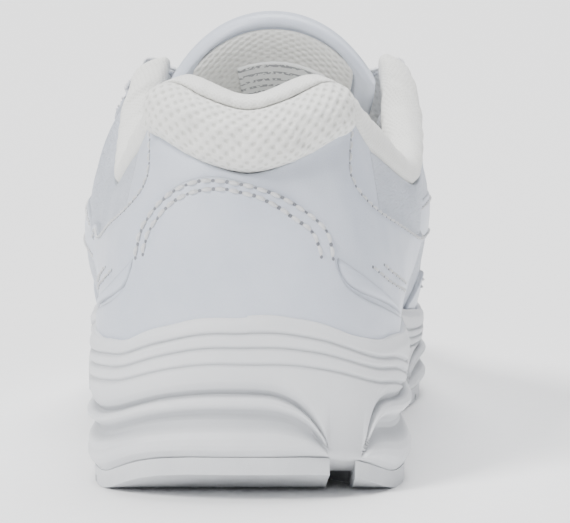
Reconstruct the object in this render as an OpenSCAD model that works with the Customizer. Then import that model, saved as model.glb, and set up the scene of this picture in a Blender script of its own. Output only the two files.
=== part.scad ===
/* [Overall] */
// Length of the sole, heel to toe
shoe_length = 278; // [270:1:286]
// Width of the sole at the ball of the foot
ball_width = 98.5; // [95:0.5:102]
// Height of the heel collar above the floor
collar_height = 101.5; // [98:0.5:105]

/* [Sole] */
// Height of the foot bed at the heel
heel_stack = 30; // [28:0.5:32]
// Height of the foot bed at the ball
ball_stack = 17.5; // [16:0.5:19]
// Thickness of the rubber outsole
rubber = 4.2; // [3.6:0.1:4.8]
// Thickness of the midsole wall that cups the upper
cup_wall = 3.2; // [2.8:0.1:3.2]
// Depth of the tread grooves
tread_depth = 2; // [1:0.1:2.5]

/* [Upper] */
// Thickness of the leather panels
leather = 1.6; // [1.2:0.1:1.6]
// Thickness of the stitched overlays
overlay = 1.4; // [1:0.1:1.5]
// Thickness of the collar padding at its fattest
collar_pad = 6.6; // [5:0.1:6.8]
// Number of eyelet pairs
eyelet_pairs = 6; // [5:1:6]
// Radius of an eyelet hole
eyelet_r = 2.4; // [2.3:0.1:2.6]

/* [Insole and tongue] */
// Thickness of the removable insole
insole_thick = 4.4; // [3.5:0.1:4.6]
// Thickness of the tongue padding
tongue_pad = 4.2; // [3:0.1:4.4]

/* [Hidden] */

kl = shoe_length / 278;
kw = ball_width / 98.5;
kh = collar_height / 101.5;
heel_x = -2.5;
crown_slope = -0.27;
lateral_crown = 1.4;
toe_u = 10;
gap = 0.15;
seam_gap = 0.3;
lift = 0.35;

// One row per station, heel to toe: how far along the sole, medial and lateral half widths of the sole;
// top edge: how far along, half width, height; wall handle out, up; crown handle out, down; inset of the wall
stations = [
    [0, 0, 0, 9, 0, 97, 4, 24, 4, 24, 5.5],
    [6.5, 25.5, 25.5, 17, 18.5, 101.5, 4, 24, 5, 24, 5.5],
    [27, 39, 39, 40, 28.5, 90, 4, 22, 7, 22, 5.5],
    [60, 40, 40, 69, 36.5, 78, 5, 20, 8, 16, 5.5],
    [92, 37, 40, 93, 36.5, 86, 9, 20, 10, 18, 7],
    [118, 37, 43, 113, 32.5, 101, 17, 24, 13.5, 22, 8],
    [148, 44, 46.5, 146, 19, 84, 15, 24, 36, 9, 8],
    [182, 50, 46.5, 182, 12, 67, 9, 20, 31, 4, 6.5],
    [222, 46, 38, 200, 0, 60, 5, 18, 31, 0, 5.5],
    [261, 33.5, 20, 224, 0, 53, 3, 17, 26, 0, 5.5],
    [278, 7.5, -7.5, 246, 0, 45, 3, 17, 26, 0, 5.5]
];

function smooth(a, b, x) = let (k = min(max((x - a) / (b - a), 0), 1)) k * k * (3 - 2 * k);
function unit(p) = p / norm(p);
function mix(a, b, k) = a + (b - a) * k;
function steps(a, b, n) = [for (i = [0:n]) mix(a, b, i / n)];

// Centre line of the last, which swings to the medial side from the heel on
function centre_x(t) = heel_x + 6 * smooth(0, 110, t) + 2 * smooth(150, 260, t);

// Height of the foot bed, of the ground side of the sole and of the rubber's top, at t along the sole
function bed(t) = heel_stack - (heel_stack - ball_stack) * smooth(85, 180, t) + 6 * smooth(215, 285, t);
function under(t) = 7 * (1 - smooth(0, 24, t)) + 14 * smooth(195, 300, t) + 2.5 * smooth(92, 108, t) * (1 - smooth(138, 156, t));
function rubber_top(t) = under(t) + rubber;

// The stations as a closed loop of 20: outline x, t; top x, t, z; wall out, up; crown handle x, t, z; inset
function loop_row(i) =
    let (
        j = i <= toe_u ? i : 20 - i,
        side = i <= toe_u ? 1 : -1,
        r = stations[j],
        o = [heel_x + (side > 0 ? r[1] : -r[2]), r[0]],
        top = [centre_x(r[3]) + side * r[4], r[3]],
        d = unit(o - (j < 3 ? top : [centre_x(r[3]), r[3]])),
        slope = j >= 8 ? crown_slope : 0,
        crown = r[8] * (side < 0 && (j == 4 || j == 5) ? lateral_crown : 1)
    )
    [o.x, o.y, top.x, top.y, r[5], r[6], r[7], d.x * crown, d.y * crown, slope * d.y * crown - r[9], r[10]];
loop_rows = [for (i = [0:19]) loop_row(i)];

function wrap(i) = (i % 20 + 20) % 20;
function loop_at(u) =
    let (
        i = floor(u),
        f = u - i,
        a = loop_rows[wrap(i - 1)],
        b = loop_rows[wrap(i)],
        c = loop_rows[wrap(i + 1)],
        d = loop_rows[wrap(i + 2)]
    )
    0.5 * (2 * b + (c - a) * f + (2 * a - 5 * b + 4 * c - d) * f * f + (3 * b - a - 3 * c + d) * f * f * f);

function outline(u) = let (r = loop_at(u)) [r[0], r[1]];
function plan_normal(u) = let (d = outline(u + 0.001) - outline(u - 0.001)) unit([d.y, -d.x]);

// The last's surface: u runs round the shoe from the heel over the medial side, v from the sole up
function handles(u) =
    let (
        r = loop_at(u),
        n = plan_normal(u),
        foot = [r[0], r[1]] - r[10] * n,
        f = [foot.x, foot.y, bed(foot.y) + lift],
        top = [r[2], r[3], r[4]]
    )
    [f, f + [n.x * r[5], n.y * r[5], r[6]], top + [r[7], r[8], r[9]], top];
function bezier(h, v) =
    let (w = 1 - v) w * w * w * h[0] + 3 * w * w * v * h[1] + 3 * w * v * v * h[2] + v * v * v * h[3];
function bezier_slope(h, v) =
    let (w = 1 - v) 3 * w * w * (h[1] - h[0]) + 6 * w * v * (h[2] - h[1]) + 3 * v * v * (h[3] - h[2]);
function raw_normal(u, v) =
    let (
        e = 0.002,
        du = bezier(handles(u + e), v) - bezier(handles(u - e), v),
        dv = bezier_slope(handles(u), v)
    )
    unit(cross(du, dv));
function on_ridge(u) = abs(u - toe_u) < 2.001;
function normal(u, v) =
    let (c = min(v, 0.96))
    v > 0.96 && on_ridge(u) ? unit(raw_normal(u, c) + raw_normal(2 * toe_u - u, c)) : raw_normal(u, c);

// A point off the last by depth, where v past 1 runs on above the top edge; in the part's own frame
function place(p) = [p.x * kw, (p.y - 139) * kl, p.z < heel_stack ? p.z : heel_stack + (p.z - heel_stack) * kh];
function skin(u, v, depth) =
    let (
        h = handles(u),
        c = min(v, 1),
        over = (v - c) * 60 * unit(bezier_slope(h, 1))
    )
    place(bezier(h, c) + over + depth * normal(u, v));

// Triangles between two rows of points, and the solid between two grids of points
function quad(a, b, c, d) = [[a, c, b], [a, d, c]];
function flat(lists) = [for (l = lists) each l];
module grid_solid(outer, inner) {
    n = len(outer);
    m = len(outer[0]);
    k = n * m;
    faces = flat([
        for (i = [0:n - 2]) for (j = [0:m - 2])
            let (a = i * m + j, b = a + m)
            each [quad(a, b, b + 1, a + 1), quad(k + a, k + a + 1, k + b + 1, k + b)]
    ]);
    rims = flat([
        for (i = [0:n - 2])
            let (a = i * m, b = a + m, c = a + m - 1, d = b + m - 1)
            each [quad(k + a, k + b, b, a), quad(c, d, k + d, k + c)]
    ]);
    ends = flat([
        for (j = [0:m - 2])
            let (a = j, b = (n - 1) * m + j)
            each [quad(a, a + 1, k + a + 1, k + a), quad(b + 1, b, k + b, k + b + 1)]
    ]);
    polyhedron(concat(flat(outer), flat(inner)), concat(faces, rims, ends));
}

// A panel on the last: for each u, outer and inner give the same number of [v, depth] pairs
module panel(us, outer, inner) {
    grid_solid(
        [for (u = us) [for (p = outer(u)) skin(u, p[0], p[1])]],
        [for (u = us) [for (p = inner(u)) skin(u, p[0], p[1])]]
    );
}
module sheet(us, low, high, rows, top, thick) {
    panel(
        us,
        function(u) [for (v = steps(low(u), high(u), rows)) [v, top]],
        function(u) [for (v = steps(low(u), high(u), rows)) [v, top - thick]]
    );
}

// A sheet over the toe, whose two halves meet along the ridge of the forefoot and share their points there
module toe_sheet(half, low, rows, top, thick) {
    us = concat([for (u = half) u], [for (i = [len(half) - 2:-1:0]) 2 * toe_u - half[i]]);
    n = len(us);
    m = rows + 1;
    k = n * m;
    points = flat([
        for (depth = [top, top - thick]) for (u = us) [for (v = steps(low(u), 1, rows)) skin(u, v, depth)]
    ]);
    function at(i, j) = j == m - 1 && i > (n - 1) / 2 && on_ridge(us[i]) ? (n - 1 - i) * m + j : i * m + j;
    faces = flat([
        for (i = [0:n - 2]) for (j = [0:m - 2])
            let (a = at(i, j), b = at(i + 1, j), c = at(i + 1, j + 1), d = at(i, j + 1))
            each [quad(a, b, c, d), quad(k + a, k + d, k + c, k + b)]
    ]);
    rims = flat([
        for (i = [0:n - 2])
            let (a = at(i, 0), b = at(i + 1, 0), c = at(i, m - 1), d = at(i + 1, m - 1))
            each [
                quad(k + a, k + b, b, a),
                if (!(on_ridge(us[i]) && on_ridge(us[i + 1]))) quad(c, d, k + d, k + c)
            ]
    ]);
    ends = flat([
        for (j = [0:m - 2])
            let (a = at(0, j), b = at(0, j + 1), c = at(n - 1, j), d = at(n - 1, j + 1))
            each [quad(a, b, k + b, k + a), quad(d, c, k + c, k + d)]
    ]);
    polyhedron(points, concat(faces, rims, ends));
}

// ---- Sole ----

sole_ts = concat(steps(0, 30, 10), steps(36, 84, 4), steps(90, 162, 12), steps(170, 206, 3), steps(214, 278, 8));
function outline_points(inset, n = 72) =
    [for (i = [0:n - 1]) let (u = 20 * i / n, p = outline(u) - inset * plan_normal(u)) [p.x * kw, (p.y - 139) * kl]];
function side_point(t, z) = [(t - 139) * kl, z];

// Everything between two heights that depend on t, right across the shoe
module slab(low, high) {
    ts = concat([-6], sole_ts, [284]);
    rotate([90, 0, 90])
        translate([0, 0, -80])
            linear_extrude(160)
                polygon(concat(
                    [for (t = ts) side_point(t, low(t))],
                    [for (i = [len(ts) - 1:-1:0]) side_point(ts[i], high(ts[i]))]
                ));
}
module prism(inset, n = 72) {
    translate([0, 0, -10])
        linear_extrude(80)
            polygon(outline_points(inset, n));
}

// Plan areas of the rubber pads: a quadrilateral or longer outline in sole coordinates
module area(corners) {
    translate([0, 0, -10])
        linear_extrude(60)
            polygon([for (c = corners) [c.x * kw, (c.y - 139) * kl]]);
}
module pad(inset, corners) {
    color("whitesmoke")
        difference() {
            intersection() {
                prism(inset, 160);
                slab(function(t) under(t), function(t) rubber_top(t));
                area(corners);
            }
            children();
        }
}
// Straight tread grooves across the sole
module grooves(first, last, spacing, width = 2.2, lean = 0) {
    for (t = [first:spacing:last])
        intersection() {
            slab(function(t) under(t) - 5, function(t) under(t) + tread_depth);
            translate([0, (t - 139) * kl, 0])
                rotate(lean)
                    translate([-60, -width / 2, -10])
                        cube([120, width, 40]);
        }
}

notch_medial = 24.5;
notch_lateral = 18;
module outsole_heel_lateral() {
    pad(1.2, [[notch_lateral, -5], [notch_lateral - 2, 26], [4, 40], [-2, 90], [-60, 98], [-60, -5]])
        grooves(36, 84, 12, 2.2, 8);
}
module outsole_heel_medial() {
    pad(1.2, [[notch_medial, -5], [notch_medial - 2, 30], [11, 44], [5, 88], [60, 96], [60, -5]])
        grooves(44, 84, 12, 2.2, -8);
}
module outsole_ball_lateral() {
    pad(1.2, [[-60, 146], [0, 152], [0, 222], [-60, 212]]) grooves(162, 214, 10, 2.4, 6);
}
module outsole_ball_medial() {
    pad(1.2, [[5, 152], [60, 146], [60, 218], [5, 222]]) grooves(162, 214, 10, 2.4, -6);
}
module outsole_toe() {
    pad(1.2, [[-60, 217], [2, 227], [60, 223], [60, 300], [-60, 300]]) grooves(236, 262, 9, 2.4, 0);
}
module shank_plate() {
    color("gainsboro")
        intersection() {
            prism(5);
            slab(function(t) rubber_top(t) - 3, function(t) rubber_top(t));
            area([[-60, 102], [60, 100], [60, 141], [0, 147], [-60, 141]]);
        }
}

// Rim of the midsole: high at the back of the heel, dipping at its corners, then level with the foot bed
function rim(u) =
    let (
        t = outline(u).y,
        r = min(wrap(floor(u)) + (u - floor(u)), 20 - wrap(floor(u)) - (u - floor(u)))
    )
    bed(t) + 8.5 + 7 * (1 - smooth(0.2, 1.5, r)) - 2 * smooth(0.8, 1.6, r) * (1 - smooth(1.9, 2.6, r)) + 2 * smooth(9, 10, r);

// Levels up the wall of the midsole: share of its height at the heel centre and at the sides, and how far in
wall_levels = [
    [0.02, 0.02, 0.9], [0.14, 0.08, 0], [0.22, 0.2, 0.7], [0.293, 0.29, 1.3], [0.37, 0.38, 0.1], [0.4425, 0.448, 1.2],
    [0.54, 0.5, 0], [0.63, 0.56, 0.1], [0.65, 0.575, 0.7], [0.67, 0.59, 0.1], [0.75, 0.645, 0.1], [0.767, 0.66, 0.7],
    [0.785, 0.675, 0.1], [0.855, 0.74, 0.2], [0.87, 0.755, 0.8], [0.885, 0.77, 0.2], [1, 1, 0.9]
];
module sole_block() {
    n = 60;
    us = [for (i = [0:n - 1]) 20 * i / n];
    function ring(inset, z) = [
        for (u = us)
            let (p = outline(u) - inset * plan_normal(u))
            [p.x * kw, (p.y - 139) * kl, z(u)]
    ];
    rings = concat(
        [ring(1.2, function(u) -4)],
        [for (l = wall_levels) ring(l[2], function(u)
            mix(rubber_top(outline(u).y), rim(u), mix(l[0], l[1], smooth(0, 1.8, min(u, 20 - u)))))]
    );
    count = len(rings);
    walls = flat([
        for (r = [0:count - 2]) for (i = [0:n - 1])
            let (a = r * n + i, b = r * n + (i + 1) % n)
            quad(a, b, b + n, a + n)
    ]);
    h = n / 2;
    top = (count - 1) * n;
    caps = flat([
        for (i = [0:h - 1])
            let (a = i, b = i + 1, c = (n - i - 1) % n, d = (n - i) % n)
            each [
                if (i == 0) [[0, 1, n - 1], [top, top + n - 1, top + 1]],
                if (i == h - 1) [[a, b, d], [top + a, top + d, top + b]],
                if (i > 0 && i < h - 1) quad(a, d, c, b),
                if (i > 0 && i < h - 1) quad(top + a, top + b, top + c, top + d)
            ]
    ]);
    polyhedron(flat(rings), concat(walls, caps));
}
module midsole() {
    color("white")
        difference() {
            sole_block();
            slab(function(t) -30, function(t) rubber_top(t));
            intersection() {
                prism(cup_wall);
                slab(function(t) bed(t), function(t) 90);
            }
        }
}
module lasting_board() {
    color("tan")
        intersection() {
            prism(10.4);
            slab(function(t) bed(t), function(t) bed(t) + 1.3);
        }
}
// The insole's outline, set in from the lasting board's
module insole_prism() {
    translate([0, 0, -10])
        linear_extrude(80)
            offset(delta = -7.6)
                polygon(outline_points(6));
}
module insole_foam() {
    color("lightgray")
        intersection() {
            insole_prism();
            slab(function(t) bed(t) + 1.3 + gap, function(t) bed(t) + 1.3 + gap + insole_thick - 0.6);
        }
}
module insole_cover() {
    color("whitesmoke")
        intersection() {
            insole_prism();
            slab(function(t) bed(t) + 1.3 + gap + insole_thick - 0.6, function(t) bed(t) + 1.3 + gap + insole_thick);
        }
}

// ---- Upper ----

back_edge = 1.85;
quarter_front = 6.9;
collar_u = 4.9;
// Top of the leather below the padded collar, and below the mesh pad at the back of the heel
function pad_low(u) = 0.95 - 0.215 * pow(max(0, 1 - pow(u / 1.3, 2)), 0.5);
function leather_top(u) =
    let (r = abs(u > 10 ? u - 20 : u))
    r < 1.26 ? pad_low(r) : lookup(r, [[1.26, 0.895], [1.36, 0.93], [1.8, 0.875], [3.5, 0.87], [4.4, 0.86], [4.9, 0.985]]);
function collar_low(u) = abs(u) < 1.26 ? 0.968 : leather_top(u) + 0.012;
function rim_v(u) = 0.15 + 0.075 * (1 - smooth(0.2, 1.6, min(abs(u), abs(20 - u))));
function mirrored(us) = [for (i = [len(us) - 1:-1:0]) 20 - us[i]];

module back_quarter() {
    us = concat([-back_edge, -1.6], steps(-1.37, 1.37, 18), [1.6, back_edge]);
    color("white") sheet(us, function(u) 0, function(u) leather_top(u), 9, 0, leather);
}
quarter_us = steps(back_edge + 0.01, quarter_front, 20);
module eyelet_holes(side) {
    for (i = [0:eyelet_pairs - 1]) eyelet_tool(side, i);
}
module quarter(side) {
    us = side > 0 ? quarter_us : mirrored(quarter_us);
    color("white")
        difference() {
            sheet(us, function(u) 0, function(u) leather_top(u > 10 ? 20 - u : u), 9, 0, leather);
            eyelet_holes(side);
        }
}
module quarter_medial() quarter(1);
module quarter_lateral() quarter(-1);
toe_half = concat(steps(quarter_front + 0.01, 8, 5), steps(8.3, toe_u, 6));
module vamp() {
    color("white") toe_sheet(toe_half, function(u) 0, 8, 0, leather);
}
module heel_counter() {
    us = steps(-2.6, 2.6, 16);
    color("tan") sheet(us, function(u) 0.06, function(u) 0.5 + 0.1 * (1 - smooth(0, 2.6, abs(u))), 5, -leather - gap, 1.2);
}
module toe_puff() {
    color("tan")
        sheet(steps(8.6, 11.4, 14), function(u) 0.06, function(u) 0.62 - 0.4 * pow(abs(u - 10) / 1.4, 2), 5, -leather - 0.5, 0.7);
}
lining_top = -leather - 2 * seam_gap - 0.9;
lining_half = concat(steps(collar_u + 0.05, 8, 11), steps(8.3, toe_u, 6));
module forefoot_lining() {
    color("whitesmoke")
        difference() {
            toe_sheet(lining_half, function(u) 0.06, 7, lining_top, 1);
            eyelet_holes(1);
            eyelet_holes(-1);
        }
}

// Overlays on the leather
module overlay_sheet(us, low, high, rows, level = 0) {
    base = seam_gap + level * (overlay + seam_gap);
    color("white") sheet(us, low, high, rows, base + overlay, overlay);
}
// The wide smooth panel round the heel, its edge falling from the heel pad and sweeping forward
foxing_edge = [
    [1.2, 0.85], [1.27, 0.74], [1.35, 0.67], [1.5, 0.642], [2, 0.618], [2.6, 0.595], [3.6, 0.55], [4.2, 0.5], [4.6, 0.38]
];
module heel_foxing() {
    half = [0.25, 0.5, 0.75, 1, 1.2, 1.27, 1.35, 1.5, 1.75, 2, 2.3, 2.6, 3, 3.5, 4, 4.6];
    us = concat([for (i = [len(half) - 1:-1:0]) -half[i]], [0], half);
    overlay_sheet(us, function(u) rim_v(u), function(u)
        abs(u) < 1.2 ? pad_low(u) - 0.008 : lookup(abs(u), foxing_edge), 8);
}
// The bell-shaped patch over it, a little to the lateral side of the heel's centre
patch_u = -0.2;
patch_edge = [[0, 0.722], [0.3, 0.69], [0.6, 0.625], [0.9, 0.52], [1.02, 0.46], [1.07, 0.37], [1.2, 0.31], [1.45, 0.27], [1.8, 0.25], [2.3, 0.215]];
module heel_patch() {
    half = [0.3, 0.6, 0.8, 0.9, 1.02, 1.07, 1.2, 1.45, 1.8, 2.1, 2.3];
    us = concat([for (i = [len(half) - 1:-1:0]) patch_u - half[i]], [patch_u], [for (h = half) patch_u + h]);
    overlay_sheet(us, function(u) rim_v(u), function(u) lookup(abs(u - patch_u), patch_edge), 6, 1);
}
// The tapering ribs that run along the flares of the patch
module heel_rib(side) {
    steps_out = [1.12, 1.25, 1.45, 1.7, 1.95, 2.2, 2.4];
    us = side > 0 ? [for (h = steps_out) patch_u + h] : [for (i = [len(steps_out) - 1:-1:0]) patch_u - steps_out[i]];
    function r(u) = abs(u - patch_u);
    overlay_sheet(us,
        function(u) lookup(r(u), patch_edge) + 0.012,
        function(u) lookup(r(u), patch_edge) + 0.012 + 0.06 * (1 - smooth(1.1, 2.5, r(u))) + 0.008, 2, 1);
}
module heel_rib_medial() heel_rib(1);
module heel_rib_lateral() heel_rib(-1);
// The guard round the front of the shoe, low along the sides and higher over the toe
cap_edge = [[0, 0.66], [0.5, 0.54], [1, 0.43], [1.6, 0.35], [2.2, 0.31], [3.4, 0.3], [3.7, 0.2]];
module toe_cap() {
    us = steps(6.3, 13.7, 28);
    function r(u) = abs(u - 10);
    overlay_sheet(us, function(u) 0.17 + 0.02 * (1 - smooth(0, 1.5, r(u))), function(u) lookup(r(u), cap_edge), 5);
}
eyestay_us = concat(steps(collar_u + 0.03, 7, 12), steps(7.12, 7.8, 6));
module eyestay(side) {
    us = side > 0 ? eyestay_us : mirrored(eyestay_us);
    function r(u) = u > 10 ? 20 - u : u;
    difference() {
        overlay_sheet(us, function(u) 0.76 + 0.2 * smooth(6.9, 7.9, r(u)), function(u) 0.995, 4);
        eyelet_holes(side);
    }
}
module eyestay_medial() eyestay(1);
module eyestay_lateral() eyestay(-1);
band_us = steps(4.7, 6.9, 12);
module side_band(side) {
    us = side > 0 ? band_us : mirrored(band_us);
    function r(u) = u > 10 ? 20 - u : u;
    overlay_sheet(us, function(u) 0.26 + 0.2 * smooth(4.65, 7, r(u)), function(u) 0.44 + 0.24 * smooth(4.65, 7, r(u)), 5);
}
module side_band_medial() side_band(1);
module side_band_lateral() side_band(-1);

// Padded collar: foam wrapped in a mesh lining that rolls over the top edge and runs down inside
collar_us = steps(-collar_u, collar_u, 50);
function fat(u) = collar_pad * mix(1, 0.62, smooth(3.9, 4.9, abs(u)));
module collar_lining() {
    color("ivory")
        panel(
            collar_us,
            function(u) let (f = fat(u), v0 = collar_low(u)) [
                [v0, 0.5], [mix(v0, 1, 0.7), 1], [1.02, -0.4], [1.035, -f * 0.5], [1.02, -f - 0.6],
                [0.97, -f - 2.6], [0.86, -f - 2.9], [0.72, -f * 0.75 - 3], [0.56, -4.6], [0.3, -4.2], [0.07, -4.2]
            ],
            function(u) let (f = fat(u), v0 = collar_low(u)) [
                [v0, -0.4], [mix(v0, 1, 0.6), 0], [1.005, -0.9], [1.018, -f * 0.5], [1.005, -f - 0.1],
                [0.965, -f - 1.7], [0.86, -f - 2], [0.72, -f * 0.75 - 2.1], [0.56, -3.7], [0.3, -3.3], [0.07, -3.3]
            ]
        );
}
module collar_foam() {
    color("lightyellow")
        panel(
            collar_us,
            function(u) let (f = fat(u), v0 = collar_low(u), v1 = min(v0, 0.93), e = v1 < v0 ? 0.7 : 0) [
                [0.63, -leather - 0.4], [0.74, -leather - 0.4], [v1 - 0.03, -leather - 0.4],
                [mix(v1, 1, 0.5), -1.4 - e], [0.985, -1.8 - e * 0.6], [0.998, -f * 0.5 - 0.3]
            ],
            function(u) let (f = fat(u)) [
                [0.63, -2.6], [0.74, -f * 0.75 - 1.7], [0.86, -f - 1.6], [0.93, -f - 1.4], [0.965, -f - 1.1], [0.985, -f - 0.2]
            ]
        );
}
pad_us = steps(-1.24, 1.24, 22);
module heel_pad_mesh() {
    color("ivory")
        panel(
            pad_us,
            function(u) let (a = pad_low(u) + 0.01, b = 0.955, w = (b - a) / 0.22) [
                [a, 0.3], [mix(a, b, 0.2), 0.5 + 3 * w], [mix(a, b, 0.5), 0.8 + 4.2 * w], [mix(a, b, 0.8), 0.7 + 3 * w], [b, 0.7]
            ],
            function(u) let (a = pad_low(u) + 0.01, b = 0.955, w = (b - a) / 0.22) [
                [a, -0.5], [mix(a, b, 0.2), -0.3 + 3 * w], [mix(a, b, 0.5), 4.2 * w], [mix(a, b, 0.8), -0.1 + 3 * w], [b, -0.1]
            ]
        );
}
module heel_pad_foam() {
    color("lightyellow")
        panel(
            steps(-1.1, 1.1, 20),
            function(u) let (a = pad_low(u) + 0.01, b = 0.955, w = (b - a) / 0.22) [
                [mix(a, b, 0.06), -0.7], [mix(a, b, 0.2), -0.5 + 3 * w], [mix(a, b, 0.5), -0.2 + 4.2 * w],
                [mix(a, b, 0.8), -0.3 + 3 * w], [mix(a, b, 0.96), -0.3]
            ],
            function(u) let (a = pad_low(u) + 0.01, b = 0.955) [
                for (k = [0.06, 0.2, 0.5, 0.8, 0.96]) [mix(a, b, k), -1.7]
            ]
        );
}

// ---- Tongue ----

// Rows from the hinge up to the tip: how far along the sole, height, half width, drop at the edges
tongue_rows = [
    [197, 54.5, 14, 3], [172, 68.5, 16, 5], [146, 81, 19, 7], [122, 91.5, 24, 10.5], [104, 103.5, 27.5, 13], [95, 117, 28.5, 14.5]
];
function tongue_row(a) =
    let (
        last = len(tongue_rows) - 1,
        x = min(max(a, 0), 1) * last,
        i = min(floor(x), last - 1),
        f = x - i,
        p = tongue_rows[i],
        q = tongue_rows[i + 1],
        o = i > 0 ? tongue_rows[i - 1] : 2 * p - q,
        r = i < last - 1 ? tongue_rows[i + 2] : 2 * q - p
    )
    0.5 * (2 * p + (q - o) * f + (2 * o - 5 * p + 4 * q - r) * f * f + (3 * p - o - 3 * q + r) * f * f * f);
function tongue_point(a, w) =
    let (r = tongue_row(a)) [centre_x(r[0]) + r[2] * w, r[0] + 0.25 * r[3] * w * w, r[1] - r[3] * w * w];
function tongue_skin(a, w, depth) =
    let (
        e = 0.01,
        da = tongue_point(min(a + e, 1), w) - tongue_point(max(a - e, 0), w),
        dw = tongue_point(a, w + e) - tongue_point(a, w - e)
    )
    place(tongue_point(a, w) + depth * unit(cross(da, dw)));
// Corners of the tongue are rounded: the tip falls back towards the edges
function tip(w) = 1 - 0.08 * pow(abs(w), 4);
module tongue_sheet(low, width, top, thick, cols = 14, rows = 8) {
    grid_solid(
        [for (a = steps(0, 1, cols)) [for (w = steps(-width, width, rows)) tongue_skin(mix(low, tip(w), a), w, top)]],
        [for (a = steps(0, 1, cols)) [for (w = steps(-width, width, rows)) tongue_skin(mix(low, tip(w), a), w, top - thick)]]
    );
}
module tongue_cover() {
    color("white") tongue_sheet(0, 1, 0, 1.2);
}
module tongue_foam() {
    color("lightyellow") tongue_sheet(0.06, 0.95, -1.2 - gap, tongue_pad - 2 * gap);
}
module tongue_lining() {
    color("ivory") tongue_sheet(0.02, 1, -1.2 - tongue_pad - gap, 0.8);
}
module tongue_label() {
    depth = -1.2 - tongue_pad - gap - 0.8 - 0.1;
    as = steps(0.74, 0.86, 4);
    ws = steps(-0.28, 0.42, 6);
    color("lightgray")
        grid_solid(
            [for (a = as) [for (w = ws) tongue_skin(a, w, depth)]],
            [for (a = as) [for (w = ws) tongue_skin(a, w, depth - 0.3)]]
        );
}

// ---- Lace ----

eyelet_v = 0.875;
function eyelet_u(i) = mix(6.74, 5.1, i / (eyelet_pairs - 1));
function side_u(side, u) = side > 0 ? u : 20 - u;
module eyelet_tool(side, i) {
    u = side_u(side, eyelet_u(i));
    p = skin(u, eyelet_v, 0);
    n = unit(skin(u, eyelet_v, 1) - p);
    translate(p)
        rotate([0, acos(n.z), atan2(n.y, n.x)])
            cylinder(h = 16, r = eyelet_r, center = true, $fn = 32);
}
lace_w = 6.5;
lace_t = 1.1;
cord_w = 2.2;
// One bar of the lace: up through an eyelet, across the tongue and down through the opposite eyelet,
// then under the eyestay to the next eyelet; each point is [place, width direction, width, thickness]
function bar(i) =
    let (
        side = i % 2 == 0 ? 1 : -1,
        ua = side_u(side, eyelet_u(i)),
        ub = side_u(-side, eyelet_u(i)),
        along = function(u) side * unit(skin(u + 0.1, 0.95, 0) - skin(u - 0.1, 0.95, 0)),
        wa = along(ua),
        wb = -along(ub),
        a = function(v, d) skin(ua, v, d),
        b = function(v, d) skin(ub, v, d),
        high = overlay + seam_gap + 0.95,
        deep = -6,
        ea = a(1, high),
        eb = b(1, high),
        rise = [0, 0, 1.6],
        v0 = eyelet_v
    )
    [
        [a(v0, deep), wa, cord_w, cord_w],
        [a(v0, -2), wa, cord_w, cord_w],
        [a(v0, 1), wa, cord_w, cord_w],
        [a(v0 + 0.008, high + 0.3), wa, 4, 1.4],
        [a(0.915, high), wa, lace_w, lace_t],
        [a(0.96, high), wa, lace_w, lace_t],
        [ea, wa, lace_w, lace_t],
        for (k = [0.25, 0.5, 0.75]) [mix(ea, eb, k) + rise * (k == 0.5 ? 1 : 0.75), mix(wa, wb, k), lace_w, lace_t],
        [eb, wb, lace_w, lace_t],
        [b(0.96, high), wb, lace_w, lace_t],
        [b(0.915, high), wb, lace_w, lace_t],
        [b(v0 + 0.008, high + 0.3), wb, 4, 1.4],
        [b(v0, 1), wb, cord_w, cord_w],
        [b(v0, -2), wb, cord_w, cord_w],
        [b(v0, deep), wb, cord_w, cord_w]
    ];
module lace() {
    path = flat([for (i = [0:eyelet_pairs - 1]) bar(i)]);
    n = len(path);
    sides = 8;
    rings = [
        for (i = [0:n - 1])
            let (
                p = path[i],
                t = unit(path[min(i + 1, n - 1)][0] - path[max(i - 1, 0)][0]),
                s = unit(p[1] - (p[1] * t) * t),
                d = cross(t, s)
            )
            [for (k = [0:sides - 1]) p[0] + s * p[2] / 2 * cos(45 * k + 22.5) + d * p[3] / 2 * sin(45 * k + 22.5)]
    ];
    walls = flat([
        for (i = [0:n - 2]) for (k = [0:sides - 1])
            let (a = i * sides + k, b = i * sides + (k + 1) % sides)
            quad(a, b, b + sides, a + sides)
    ]);
    ends = [[for (k = [0:sides - 1]) k], [for (k = [sides - 1:-1:0]) (n - 1) * sides + k]];
    color("white") polyhedron(flat(rings), concat(walls, ends));
}

outsole_heel_lateral();
outsole_heel_medial();
outsole_ball_lateral();
outsole_ball_medial();
outsole_toe();
shank_plate();
midsole();
lasting_board();
insole_foam();
insole_cover();
back_quarter();
quarter_lateral();
quarter_medial();
vamp();
heel_counter();
toe_puff();
forefoot_lining();
heel_foxing();
heel_patch();
heel_rib_lateral();
heel_rib_medial();
toe_cap();
eyestay_lateral();
eyestay_medial();
side_band_lateral();
side_band_medial();
collar_foam();
collar_lining();
heel_pad_foam();
heel_pad_mesh();
tongue_cover();
tongue_foam();
tongue_lining();
tongue_label();
lace();
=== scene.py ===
"""Looks of the left cheer shoe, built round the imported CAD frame.

Lengths are in millimetres until a mesh is made.

Frame: +Y from heel to toe, +X medial, +Z up. t is the distance along the sole from the back of the heel.
The upper is one surface: u runs round the shoe (0 heel, 10 toe, 0..10 medial, negative or past 10 lateral),
v from the sole (0) to the top edge (1).
"""

import math

import bpy
import numpy as np
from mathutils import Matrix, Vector
from mathutils.bvhtree import BVHTree


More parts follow.
